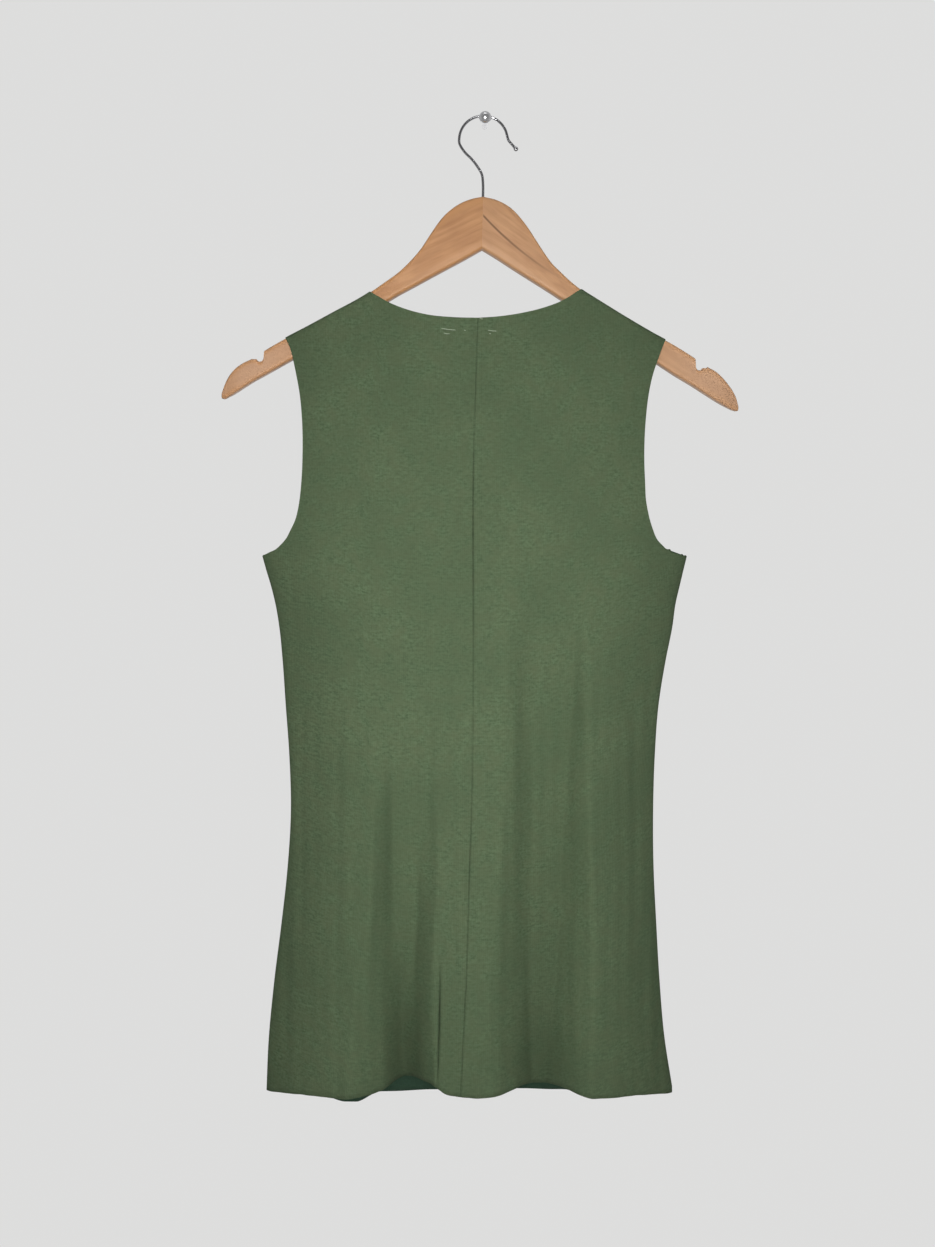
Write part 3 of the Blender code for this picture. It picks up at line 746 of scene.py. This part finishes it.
def patch(top, bottom, start, end, across, down):
    """A grid of x and z that fills the space between four edges, row by row."""
    across, down = np.asarray(across, float), np.asarray(down, float)
    u, v = across[None, :, None], down[:, None, None]
    high, low = top(across)[None], bottom(across)[None]
    first, last = start(down)[:, None], end(down)[:, None]
    corners = (1 - v) * ((1 - u) * high[:, :1] + u * high[:, -1:])
    corners = corners + v * ((1 - u) * low[:, :1] + u * low[:, -1:])
    return (1 - v) * high + v * low + (1 - u) * first + u * last - corners


def finer(shares, times):
    count = len(shares)
    return np.interp(np.linspace(0, count - 1, (count - 1) * times + 1), np.arange(count), shares)


# Materials

# How strongly the painted shade darkens the jersey, and its brightness against the dark colour's
PAINTED_SHADE_SHARE = 0.52
PAINTED_SHADE_DARK = 0.28

# The wood's dark lines, a stain and a painted shade line, and how it pales towards its worn tips
LINE_DARK = 0.55
LINE_END = 0.002
PALE_FROM, PALE_TO, PALE_SHARE = 0.12, 0.19, 0.62

# How much the floor shows of its own, so that it stays near the backdrop's tone
FLOOR_GLOW = 0.33


class Nodes:
    """Short ways to add and join the nodes of one material."""

    def __init__(self, name):
        self.material = bpy.data.materials.new(name)
        self.material.use_nodes = True
        self.tree = self.material.node_tree
        self.shader = self.tree.nodes["Principled BSDF"]

    def node(self, kind, inputs=(), **settings):
        made = self.tree.nodes.new(kind)
        for key, value in settings.items():
            setattr(made, key, value)
        for key, value in dict(inputs).items():
            self.give(made.inputs[key], value)
        return made

    def give(self, socket, value):
        if isinstance(value, bpy.types.NodeSocket):
            self.tree.links.new(value, socket)
        else:
            socket.default_value = value

    def noise(self, place, scale, detail=2.0, rough=0.5):
        made = self.node(
            "ShaderNodeTexNoise",
            {"Vector": place, "Scale": scale, "Detail": detail, "Roughness": rough},
        )
        return made.outputs["Fac"]

    def stretch(self, place, scale, turn=(0, 0, 0)):
        made = self.node("ShaderNodeMapping", {"Vector": place, "Scale": scale, "Rotation": turn})
        return made.outputs["Vector"]

    def spread(self, value, low, high, to_low=0.0, to_high=1.0):
        made = self.node(
            "ShaderNodeMapRange",
            {
                "Value": value,
                "From Min": low,
                "From Max": high,
                "To Min": to_low,
                "To Max": to_high,
            },
        )
        return made.outputs["Result"]

    def mix(self, share, first, second, blend="MIX"):
        made = self.node("ShaderNodeMix", data_type="RGBA", blend_type=blend)
        for at, value in ((0, share), (6, first), (7, second)):
            self.give(made.inputs[at], value)
        return made.outputs[2]

    def maths(self, operation, first, second=0.0):
        made = self.node("ShaderNodeMath", {0: first, 1: second}, operation=operation)
        return made.outputs[0]

    def bump(self, height, strength, distance, under=None):
        inputs = {"Height": height, "Strength": strength, "Distance": distance}
        if under is not None:
            inputs["Normal"] = under
        return self.node("ShaderNodeBump", inputs).outputs["Normal"]

    def finish(self, inputs):
        """Give the shader's inputs their values and links."""
        for key, value in inputs.items():
            self.give(self.shader.inputs[key], value)
        return self.material


def colour(r, g, b):
    return (r, g, b, 1.0)


def darker(shade, share):
    return colour(*(share * part for part in shade[:3]))


def jersey(name, light, dark, warm):
    """Fine cotton jersey: wales and courses, soft mottling of the dye, and a nap."""
    n = Nodes(name)
    uv = n.node("ShaderNodeUVMap", uv_map="cut").outputs["UV"]
    broad = n.noise(uv, 14.0, 3.0)
    cloudy = n.noise(uv, 70.0, 3.0, 0.6)
    grain = n.noise(uv, 430.0, 2.0, 0.6)
    slub = n.noise(n.stretch(uv, (150.0, 560.0, 1.0)), 1.0, 2.0, 0.6)
    fine = n.maths("ADD", n.maths("MULTIPLY", grain, 0.5), n.maths("MULTIPLY", slub, 0.5))
    base = n.mix(n.spread(fine, 0.40, 0.60), dark, light)
    base = n.mix(n.spread(cloudy, 0.35, 0.65, 0.0, 0.62), base, warm)
    base = n.mix(n.spread(broad, 0.38, 0.62, 0.0, 0.40), base, dark)
    # Painted shade: darker in the hollows of the flutes and near the sides, read from the mesh
    shade_paint = n.node("ShaderNodeAttribute", attribute_name="painted_shade").outputs["Fac"]
    base = n.mix(n.maths("MULTIPLY", shade_paint, PAINTED_SHADE_SHARE), base, darker(dark, PAINTED_SHADE_DARK))
    wales, courses = (
        n.node(
            "ShaderNodeTexWave",
            {
                "Vector": uv,
                "Scale": scale,
                "Distortion": distortion,
                "Detail": 1.0,
                "Detail Scale": 3.0,
            },
            wave_type="BANDS",
            bands_direction=direction,
        ).outputs["Fac"]
        for direction, scale, distortion in (("X", 190.0, 0.6), ("Y", 240.0, 0.8))
    )
    knit = n.maths("MULTIPLY", wales, n.spread(courses, 0.0, 1.0, 0.55, 1.0))
    base = n.mix(n.spread(knit, 0.0, 1.0, 0.10, 0.0), base, colour(0.01, 0.014, 0.01))
    low = n.bump(n.maths("ADD", fine, n.maths("MULTIPLY", cloudy, 0.4)), 0.45, 0.0006)
    return n.finish(
        {
            "Base Color": base,
            "Roughness": 0.93,
            "Specular IOR Level": 0.10,
            "Sheen Weight": 0.02,
            "Sheen Roughness": 0.5,
            "Sheen Tint": colour(0.55, 0.62, 0.5),
            "Normal": n.bump(knit, 0.35, 0.0002, low),
        }
    )


def beech(name, light, mid, dark, slope, lines=()):
    """Varnished beech: long grain, short dark flecks, painted highlights on its rounded edges, a
    satin coat.
    """
    n = Nodes(name)
    place = n.node("ShaderNodeTexCoord").outputs["Object"]
    lie = n.stretch(place, (1.0, 1.0, 1.0), (0, slope, 0))
    wander = n.noise(n.stretch(lie, (7.0, 14.0, 22.0)), 1.0, 2.0)
    along = n.node(
        "ShaderNodeVectorMath",
        {0: n.stretch(lie, (9.0, 110.0, 260.0)), 1: n.maths("MULTIPLY", wander, 5.0)},
        operation="ADD",
    ).outputs["Vector"]
    streak = n.noise(along, 1.0, 3.0, 0.6)
    fleck = n.noise(n.stretch(lie, (70.0, 240.0, 400.0)), 1.0, 0.0)
    cloudy = n.noise(n.stretch(lie, (22.0, 40.0, 60.0)), 1.0, 2.0)
    base = n.mix(n.spread(streak, 0.32, 0.68), mid, light)
    base = n.mix(n.spread(cloudy, 0.4, 0.75, 0.0, 0.5), base, dark)
    base = n.mix(n.spread(fleck, 0.58, 0.78, 0.0, 0.22), base, dark)
    for turn, *line in lines:
        run = n.stretch(place, (1.0, 1.0, 1.0), (0, turn, 0))
        base = n.mix(stain_and_shade_line(n, run, streak, *line), base, darker(dark, LINE_DARK))
    far = n.maths("ABSOLUTE", n.node("ShaderNodeSeparateXYZ", {0: place}).outputs["X"])
    pale = n.spread(far, PALE_FROM, PALE_TO, 0.0, PALE_SHARE)
    base = n.mix(pale, base, colour(0.66, 0.41, 0.26))
    painted_edge_highlight = n.node("ShaderNodeAttribute", attribute_name="painted_edge_highlight").outputs["Fac"]
    # Painted highlight: the rounded edges are painted paler, as where they catch the light
    base = n.mix(n.maths("MULTIPLY", painted_edge_highlight, 0.6), base, light)
    relief = n.maths("ADD", streak, n.maths("MULTIPLY", fleck, 0.3))
    return n.finish(
        {
            "Base Color": base,
            "Roughness": n.spread(streak, 0.2, 0.8, 0.50, 0.38),
            "Specular IOR Level": 0.3,
            "Coat Weight": 0.06,
            "Coat Roughness": 0.35,
            "Normal": n.bump(relief, 0.12, 0.0003),
        }
    )


def stain_and_shade_line(n, lie, streak, start, end, lowest, height, bow, width, strength):
    """A dark line that bows along the grain: used for painted shade along an edge between two
    faces, and for a stain.
    """
    parts = n.node("ShaderNodeSeparateXYZ", {0: lie})
    run = n.maths("SUBTRACT", parts.outputs["X"], lowest)
    rise = n.maths("MULTIPLY", n.maths("MULTIPLY", run, run), bow)
    above = n.maths("SUBTRACT", parts.outputs["Z"], height)
    off = n.maths("ABSOLUTE", n.maths("SUBTRACT", above, rise))
    thin = n.maths(
        "MULTIPLY",
        n.spread(off, 0.25 * width, width, strength, 0.0),
        n.spread(streak, 0.2, 0.6, 0.5, 1.0),
    )
    ends = n.maths(
        "MULTIPLY",
        n.spread(parts.outputs["X"], start - LINE_END, start + LINE_END),
        n.spread(parts.outputs["X"], start + 0.3 * (end - start), end, 1.0, 0.1),
    )
    return n.maths("MULTIPLY", thin, ends)


def chrome(name, bright, hazy, rough):
    """Bright chrome plate, with faint draw marks and handling haze."""
    n = Nodes(name)
    place = n.node("ShaderNodeTexCoord").outputs["Object"]
    haze = n.noise(place, 320.0, 3.0, 0.6)
    marks = n.noise(n.stretch(place, (2600.0, 2600.0, 700.0)), 1.0, 2.0)
    return n.finish(
        {
            "Base Color": n.mix(n.spread(haze, 0.35, 0.7), bright, hazy),
            "Metallic": 1.0,
            "Roughness": n.spread(haze, 0.3, 0.7, rough, rough + 0.13),
            "Normal": n.bump(marks, 0.06, 0.0001),
        }
    )


def thread(name, pale, deep):
    """Spun sewing thread, its ply seen as a fine twist."""
    n = Nodes(name)
    place = n.node("ShaderNodeTexCoord").outputs["Object"]
    ply = n.node(
        "ShaderNodeTexWave",
        {"Vector": place, "Scale": 900.0, "Distortion": 1.0},
        bands_direction="DIAGONAL",
    ).outputs["Fac"]
    return n.finish(
        {
            "Base Color": n.mix(ply, deep, pale),
            "Roughness": 0.7,
            "Normal": n.bump(ply, 0.4, 0.0001),
        }
    )


def floor_paint(name):
    n = Nodes(name)
    fine = n.noise(n.node("ShaderNodeTexCoord").outputs["Object"], 3.0, 3.0)
    seen = n.node("ShaderNodeLightPath").outputs["Is Camera Ray"]
    return n.finish(
        {
            "Base Color": n.mix(fine, colour(0.76, 0.76, 0.76), colour(0.80, 0.80, 0.80)),
            "Roughness": 0.8,
            "Emission Color": colour(1.0, 1.0, 0.99),
            "Emission Strength": n.maths("MULTIPLY", seen, FLOOR_GLOW),
        }
    )


# Making the pieces


def add_mesh(name, bm):
    """The finished shape, as an object in the scene."""
    mesh = bpy.data.meshes.new(name)
    bm.to_mesh(mesh)
    bm.free()
    made = bpy.data.objects.new(name, mesh)
    bpy.context.collection.objects.link(made)
    return made


def finish_piece(name, bm, material):
    made = add_mesh(name, bm)
    made.data.shade_smooth()
    made.data.materials.append(material)
    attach(made, "root")
    return made


def run_lengths(points, axis):
    """How far along the cloth each grid point is, in metres, across or down."""
    steps = np.linalg.norm(np.diff(points, axis=axis), axis=2)
    lengths = np.cumsum(steps, axis=axis)
    return np.concatenate([np.zeros_like(np.take(lengths, [0], axis)), lengths], axis=axis)


def panel(name, grid, depth, seam_gap, hollows, material, shaded_inside):
    """A cut piece of jersey: a flat grid hung to its shape, and given the cloth's thickness."""
    rows, columns = grid.shape[:2]
    x, z = grid[..., 0], grid[..., 1]
    y = depth(x.ravel(), z.ravel()).reshape(rows, columns) + seam_gap
    points = np.stack([x, y, z], axis=2)
    across = x[:, :1] + np.sign(x[0, -1] - x[0, 0]) * run_lengths(points, 1)
    down = run_lengths(points, 0) - z[:1]
    # How much painted shade each point takes, kept on the mesh for the material
    shade_amounts = painted_shade(x.ravel(), z.ravel(), hollows).reshape(rows, columns)
    bm = bmesh.new()
    bmesh.ops.create_grid(bm, x_segments=columns - 1, y_segments=rows - 1, size=1)
    cut = bm.loops.layers.uv.new("cut")
    shade_paint = bm.verts.layers.float.new("painted_shade")
    for vert in bm.verts:
        row = round((1 - vert.co.y) / 2 * (rows - 1))
        column = round((1 + vert.co.x) / 2 * (columns - 1))
        vert.co = points[row, column]
        vert[shade_paint] = shade_amounts[row, column]
        for loop in vert.link_loops:
            loop[cut].uv = (across[row, column], -down[row, column])
    bmesh.ops.recalc_face_normals(bm, faces=bm.faces)
    bm.faces.ensure_lookup_table()
    if bm.faces[0].normal.y * seam_gap < 0:
        bmesh.ops.reverse_faces(bm, faces=bm.faces)
    made = finish_piece(name, bm, material)
    # The shell's inside faces take the darker copy of the jersey: painted shade
    made.data.materials.append(shaded_inside)
    wall = made.modifiers.new("wall", "SOLIDIFY")
    wall.thickness = JERSEY
    wall.offset = 1
    wall.material_offset = 1
    return made


def cloth_back(side, material, shaded_inside):
    end_x = side_x(CORNER_Z[side], side)
    start_x = CENTRE_SEAM[-1].x
    grid = patch(
        back_top(side),
        hem("back", start_x, end_x),
        centre_seam(side),
        outer_edge(side),
        finer(ACROSS_BACK, FINER_ACROSS),
        finer(DOWN, FINER_DOWN_BACK),
    )
    made = panel(f"cloth_back_{side}", grid, back_y, -GAP / 2, BACK_FLUTES, material, shaded_inside)
    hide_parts(f"back_{side}")
    return made


def cloth_front(material, shaded_inside):
    half = ACROSS_FRONT_HALF
    across = (*half, 0.5, *(1 - share for share in reversed(half)))
    ends = [side_x(CORNER_Z[side], side) for side in ("left", "right")]
    grid = patch(
        front_top,
        hem("front", *ends),
        outer_edge("left", FRONT_ARMHOLE_CUT),
        outer_edge("right", FRONT_ARMHOLE_CUT),
        finer(across, FINER_ACROSS),
        finer(DOWN, FINER_DOWN_FRONT),
    )
    made = panel("cloth_front", grid, front_y, GAP / 2, FRONT_CREASES, material, shaded_inside)
    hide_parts("front")
    return made


def label_stitches(material):
    """The stitches that hold the label inside the neck, where they come through the back."""
    bm = bmesh.new()
    for (start_x, start_z), (end_x, end_z), proud in LABEL_STITCHES:
        along = np.linspace(0, 1, 7)
        x = start_x + along * (end_x - start_x)
        z = start_z + along * (end_z - start_z) + 0.00012 * np.sin(along * 9)
        y = back_y(x, z) - GAP / 2 - JERSEY + THREAD_RADIUS * (1 - 2 * proud * np.sin(pi * along))
        tube(bm, np.stack([x, y, z], axis=1), [THREAD_RADIUS] * len(x), 8)
    bmesh.ops.recalc_face_normals(bm, faces=bm.faces)
    return finish_piece("label_stitches", bm, material)


def hanger_place():
    turn = Matrix.Rotation(HANG_TURN, 4, "Z") @ Matrix.Rotation(HANG_TILT, 4, "Y")
    return Matrix.Translation((HANG_SHIFT, -HANG_OUT, HANG_DROP)) @ turn


def grow_ring(bm, ring, edges):
    """The next ring of a growing skin, in the same order as the one before, and its open edges."""
    grown = bmesh.ops.extrude_edge_only(bm, edges=edges)["geom"]
    fresh = {item for item in grown if isinstance(item, bmesh.types.BMVert)}
    edges = [e for e in grown if isinstance(e, bmesh.types.BMEdge) and e.is_boundary]
    ring = [next(e.other_vert(v) for e in v.link_edges if e.other_vert(v) in fresh) for v in ring]
    return ring, edges


def arm_ring(rows, out):
    """The points round an arm's cross-section, with how much painted highlight each takes: rounded
    edges are painted paler.
    """
    top = -float(track(rows, "out", "top", out))
    low = -float(track(rows, "out", "low", out))
    inside = ease((out - NOTCH_FROM) / NOTCH_WALL) * ease((NOTCH_TO - out) / NOTCH_WALL)
    scoop = np.sqrt(np.clip(1 - ((out - SCOOP_AT) / SCOOP_REACH) ** 2, 0, 1))
    top = top + float(inside) * (-NOTCH_FLOOR - top) - SCOOP_DEPTH * float(scoop)
    thin = max(0.0, (out - TIP_FROM) / (rows[-1].out - TIP_FROM))
    deep = ARM_HALF_THICK * (1 - (1 - TIP_THIN) * thin**2)
    turn = min(ARM_ROUND, 0.98 * deep, 0.49 * (top - low))
    centres = (
        (deep - turn, top - turn),
        (turn - deep, top - turn),
        (turn - deep, low + turn),
        (deep - turn, low + turn),
    )
    bend = BEND_DEPTH * (out / BEND_REACH) ** 2
    points = []
    for corner, (y, z) in enumerate(centres):
        for step in range(TURN_STEPS + 1):
            angle = pi / 2 * (corner + step / TURN_STEPS)
            points.append((bend + y + turn * cos(angle), z + turn * sin(angle), 1.0))
        here, there = points[-1], centres[(corner + 1) % 4]
        angle = pi / 2 * (corner + 1)
        there = (bend + there[0] + turn * cos(angle), there[1] + turn * sin(angle))
        for step in range(1, FACE_STEPS):
            share = step / FACE_STEPS
            y, z = (here[i] + share * (there[i] - here[i]) for i in (0, 1))
            points.append((y, z, abs(2 * share - 1) ** 6))
    return points


def wooden_arm(side, material):
    """An arm, grown ring by ring from its inner end to its tip."""
    way = -1 if side == "left" else 1
    rows = ARM[side]
    reach = rows[-1].out
    shares = np.linspace(0, 1, ARM_RINGS)
    outs = [JOINT + (reach - JOINT) * (1 - (1 - s) ** ARM_CROWD) for s in shares]
    for start in (NOTCH_FROM, NOTCH_TO - NOTCH_WALL):
        outs += [start + NOTCH_WALL * s for s in np.linspace(-0.2, 1.2, 9)]
    outs += [SCOOP_AT + SCOOP_REACH * cos(a) for a in np.linspace(0, pi, 13)]
    outs = sorted(set(round(out, 6) for out in outs))
    bm = bmesh.new()
    painted_edge_highlight = bm.verts.layers.float.new("painted_edge_highlight")
    ring = [bm.verts.new() for _ in arm_ring(rows, outs[0])]
    edges = [bm.edges.new(pair) for pair in zip(ring, (*ring[1:], ring[0]))]
    for out in outs:
        if out > outs[0]:
            ring, edges = grow_ring(bm, ring, edges)
        for vert, (y, z, highlight) in zip(ring, arm_ring(rows, out)):
            vert.co = (way * out, y, z)
            vert[painted_edge_highlight] = highlight
    bmesh.ops.holes_fill(bm, edges=[e for e in bm.edges if e.is_boundary], sides=0)
    bmesh.ops.recalc_face_normals(bm, faces=bm.faces)
    bmesh.ops.transform(bm, matrix=hanger_place(), verts=bm.verts)
    made = finish_piece(f"arm_{side}", bm, material)
    bore(made)
    made.data.set_sharp_from_angle(angle=radians(50))
    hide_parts(f"hanger_arm_{side}")
    return made


def bore(arm):
    """Take the hook's hole out of the wood, and keep the result as the arm's mesh."""
    bm = bmesh.new()
    bmesh.ops.create_cone(
        bm,
        cap_ends=True,
        segments=32,
        radius1=BORE_RADIUS,
        radius2=BORE_RADIUS,
        depth=2 * BORE_DEPTH,
    )
    bmesh.ops.translate(bm, vec=(0, 0, -ARM["left"][0].top), verts=bm.verts)
    bmesh.ops.transform(bm, matrix=hanger_place(), verts=bm.verts)
    bit = add_mesh("bit", bm)
    hole = arm.modifiers.new("hole", "BOOLEAN")
    hole.object = bit
    hole.operation = "DIFFERENCE"
    hole.solver = "EXACT"
    ready = arm.evaluated_get(bpy.context.evaluated_depsgraph_get())
    bored = bpy.data.meshes.new_from_object(ready)
    arm.modifiers.clear()
    arm.data = bored
    bpy.data.objects.remove(bit, do_unlink=True)


def tube(bm, path, radii, sides):
    """A round tube along a path, grown ring by ring and closed at both ends."""
    path = [Vector(point) for point in path]
    after, before = [*path[1:], path[-1]], [path[0], *path[:-1]]
    ahead = [(there - here).normalized() for here, there in zip(before, after)]
    across = ahead[0].orthogonal().normalized()
    ring = bmesh.ops.create_circle(bm, cap_ends=False, segments=sides, radius=1)["verts"]
    edges = list({edge for vert in ring for edge in vert.link_edges})
    start_edges = edges
    for i, (point, way, radius) in enumerate(zip(path, ahead, radii)):
        across = (across - way * across.dot(way)).normalized()
        other = way.cross(across)
        if i > 0:
            ring, edges = grow_ring(bm, ring, edges)
        for step, vert in enumerate(ring):
            angle = 2 * pi * step / sides
            vert.co = point + radius * (cos(angle) * across + sin(angle) * other)
    bmesh.ops.holes_fill(bm, edges=[e for e in (*start_edges, *edges) if e.is_valid], sides=0)


def wire_hook(material):
    """The bent wire, with a ball where it ends."""
    ring = []
    for angle in np.radians(np.arange(10, 191, 15)):
        ring.append((RING_SHIFT + RING_RADIUS * cos(angle), RING_RADIUS * (sin(angle) - 1)))
    route = np.array([*HOOK_TIP, *ring, *HOOK_NECK, (0.0, -HOOK_FOOT)])
    path = curve(route, np.linspace(0, 1, 180))
    ahead = path[0] - path[1]
    ahead /= np.linalg.norm(ahead)
    ball = path[0] + ahead * TIP_BALL * 0.6
    angles = np.linspace(0.12, 0.78 * pi, 12)
    points = [ball + ahead * TIP_BALL * cos(a) for a in angles]
    radii = [TIP_BALL * sin(a) for a in angles]
    points += list(path[2:])
    radii += [WIRE_RADIUS] * (len(path) - 2)
    bm = bmesh.new()
    tube(bm, [(x, 0, z) for x, z in points], radii, 20)
    bmesh.ops.recalc_face_normals(bm, faces=bm.faces)
    bmesh.ops.transform(bm, matrix=hanger_place(), verts=bm.verts)
    made = finish_piece("wire_hook", bm, material)
    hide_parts("hook")
    return made


def ball_pin(material):
    """The stem and ball, turned about the pin's axis."""
    start = float(np.arcsin(STEM_RADIUS / BALL_RADIUS))
    profile = [(0, 0), (STEM_RADIUS - 0.0002, 0), (STEM_RADIUS, -0.0002)]
    for angle in np.linspace(start, pi, 24):
        profile.append((BALL_RADIUS * sin(angle), -BALL_OUT + BALL_RADIUS * cos(angle)))
    profile[-1] = (0, -BALL_OUT - BALL_RADIUS)
    bm = bmesh.new()
    verts = [bm.verts.new((r, y, 0)) for r, y in profile]
    edges = [bm.edges.new(pair) for pair in zip(verts, verts[1:])]
    bmesh.ops.spin(
        bm,
        geom=verts + edges,
        cent=(0, 0, 0),
        axis=(0, 1, 0),
        angle=2 * pi,
        steps=64,
        use_merge=True,
    )
    bmesh.ops.remove_doubles(bm, verts=bm.verts, dist=1e-6)
    bmesh.ops.recalc_face_normals(bm, faces=bm.faces)
    made = finish_piece("ball_pin", bm, material)
    made.data.set_sharp_from_angle(angle=radians(50))
    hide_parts("wall_pin")
    return made


# Light, floor and camera

CAMERA_AT = (-0.0153, -1.530, -0.438)
CAMERA_LENS = 50.12
CAMERA_SENSOR = 36.0
FLOOR_RADIUS = 2.7
FLOOR_Z = -2.0

# The grey that the world sheds from the viewer's side to the wall's side
SKY = ((0.0, 0.035), (0.55, 0.40), (0.78, 0.34), (1.0, 1.0))


def studio():
    bm = bmesh.new()
    bmesh.ops.create_circle(bm, cap_ends=True, segments=96, radius=FLOOR_RADIUS)
    bmesh.ops.translate(bm, vec=(0, 0, FLOOR_Z), verts=bm.verts)
    ground = add_mesh("studio_floor", bm)
    ground.data.materials.append(floor_paint("floor_paint"))

    world = bpy.data.worlds.new("studio")
    world.use_nodes = True
    tree = world.node_tree
    tree.nodes.clear()
    seen = tree.nodes.new("ShaderNodeBackground")
    seen.inputs["Color"].default_value = colour(0.725, 0.725, 0.72)
    around = tree.nodes.new("ShaderNodeBackground")
    way = tree.nodes.new("ShaderNodeTexCoord")
    split = tree.nodes.new("ShaderNodeSeparateXYZ")
    shade = tree.nodes.new("ShaderNodeValToRGB")
    steps = shade.color_ramp.elements
    for at, _ in SKY[1:-1]:
        steps.new(at)
    for step, (_, grey) in zip(steps, SKY):
        step.color = colour(grey, grey, grey)
    lift = tree.nodes.new("ShaderNodeMath")
    lift.operation = "MULTIPLY_ADD"
    lift.inputs[1].default_value = 0.5
    lift.inputs[2].default_value = 0.5
    ray = tree.nodes.new("ShaderNodeLightPath")
    mixed = tree.nodes.new("ShaderNodeMixShader")
    out = tree.nodes.new("ShaderNodeOutputWorld")
    join = tree.links.new
    join(way.outputs["Generated"], split.inputs[0])
    join(split.outputs["Y"], lift.inputs[0])
    join(lift.outputs[0], shade.inputs[0])
    join(shade.outputs[0], around.inputs["Color"])
    join(ray.outputs["Is Camera Ray"], mixed.inputs[0])
    join(around.outputs[0], mixed.inputs[1])
    join(seen.outputs[0], mixed.inputs[2])
    join(mixed.outputs[0], out.inputs[0])
    bpy.context.scene.world = world


def softbox(name, at, aim, size, power, spread=180):
    data = bpy.data.lights.new(name, "AREA")
    data.shape = "RECTANGLE"
    data.size, data.size_y = size
    data.energy = power
    data.spread = radians(spread)
    made = bpy.data.objects.new(name, data)
    made.location = at
    made.rotation_euler = (Vector(aim) - Vector(at)).to_track_quat("-Z", "Y").to_euler()
    made.visible_camera = False
    bpy.context.collection.objects.link(made)


def camera():
    data = bpy.data.cameras.new("camera")
    data.lens = CAMERA_LENS
    data.sensor_width = CAMERA_SENSOR
    data.sensor_height = CAMERA_SENSOR
    data.clip_start = 0.01
    made = bpy.data.objects.new("camera", data)
    made.location = CAMERA_AT
    made.rotation_euler = (pi / 2, 0, 0)
    bpy.context.collection.objects.link(made)
    bpy.context.scene.camera = made


# Putting it together

green_jersey = jersey(
    "green_jersey",
    colour(0.122, 0.176, 0.095),
    colour(0.076, 0.113, 0.060),
    colour(0.110, 0.137, 0.074),
)
# A darker copy of the jersey for the cloth's inside faces: painted shade inside the garment
green_jersey_shaded_inside = jersey(
    "green_jersey_shaded_inside",
    colour(0.040, 0.078, 0.050),
    colour(0.030, 0.062, 0.039),
    colour(0.038, 0.070, 0.043),
)
# The left arm's beech is painted darker and the right arm's lighter: painted shade on the left and
# painted light on the right
beech_shaded_left = beech(
    "beech_shaded_left",
    colour(0.595, 0.302, 0.130),
    colour(0.495, 0.232, 0.091),
    colour(0.320, 0.136, 0.048),
    slope=radians(24),
)
beech_lit_right = beech(
    "beech_lit_right",
    colour(0.625, 0.340, 0.168),
    colour(0.525, 0.273, 0.126),
    colour(0.345, 0.158, 0.064),
    slope=radians(-36),
    lines=(
        # Painted shade along the edge between two faces of the arm's front
        (radians(-36), 0.0475, 0.136, 0.105, -0.0747, 1.75, 0.0013, 0.95),
        # A stain in the wood
        (radians(-47.7), 0.064, 0.100, 0.082, -0.0374, -2.0, 0.0016, 0.8),
    ),
)
wire_chrome = chrome("wire_chrome", colour(0.62, 0.62, 0.63), colour(0.46, 0.46, 0.48), 0.09)
pin_chrome = chrome("pin_chrome", colour(0.93, 0.93, 0.94), colour(0.80, 0.80, 0.82), 0.24)
pale_thread = thread("pale_thread", colour(0.42, 0.47, 0.36), colour(0.26, 0.31, 0.22))

wooden_arm("left", beech_shaded_left)
wooden_arm("right", beech_lit_right)
wire_hook(wire_chrome)
ball_pin(pin_chrome)
for side in ("left", "right"):
    cloth_back(side, green_jersey, green_jersey_shaded_inside)
cloth_front(green_jersey, green_jersey_shaded_inside)
label_stitches(pale_thread)

studio()
softbox("front", (-0.01, -1.193, -0.474), (-0.01, 0, -0.474), (0.19, 0.90), 2.2, spread=66)
softbox("fill", (0.04, -1.10, -0.30), (0, 0, -0.40), (0.60, 0.80), 0.5)
softbox("right", (1.15, -1.35, -0.10), (0, 0, -0.45), (0.6, 1.0), 0.2)
softbox("left", (-1.2, -1.3, -0.2), (0, 0, -0.45), (0.8, 1.2), 0.2)
softbox("above", (0, -0.45, 0.95), (0, 0, -0.25), (0.9, 0.4), 0.2, spread=60)
camera()
bpy.context.scene.view_settings.view_transform = "Standard"
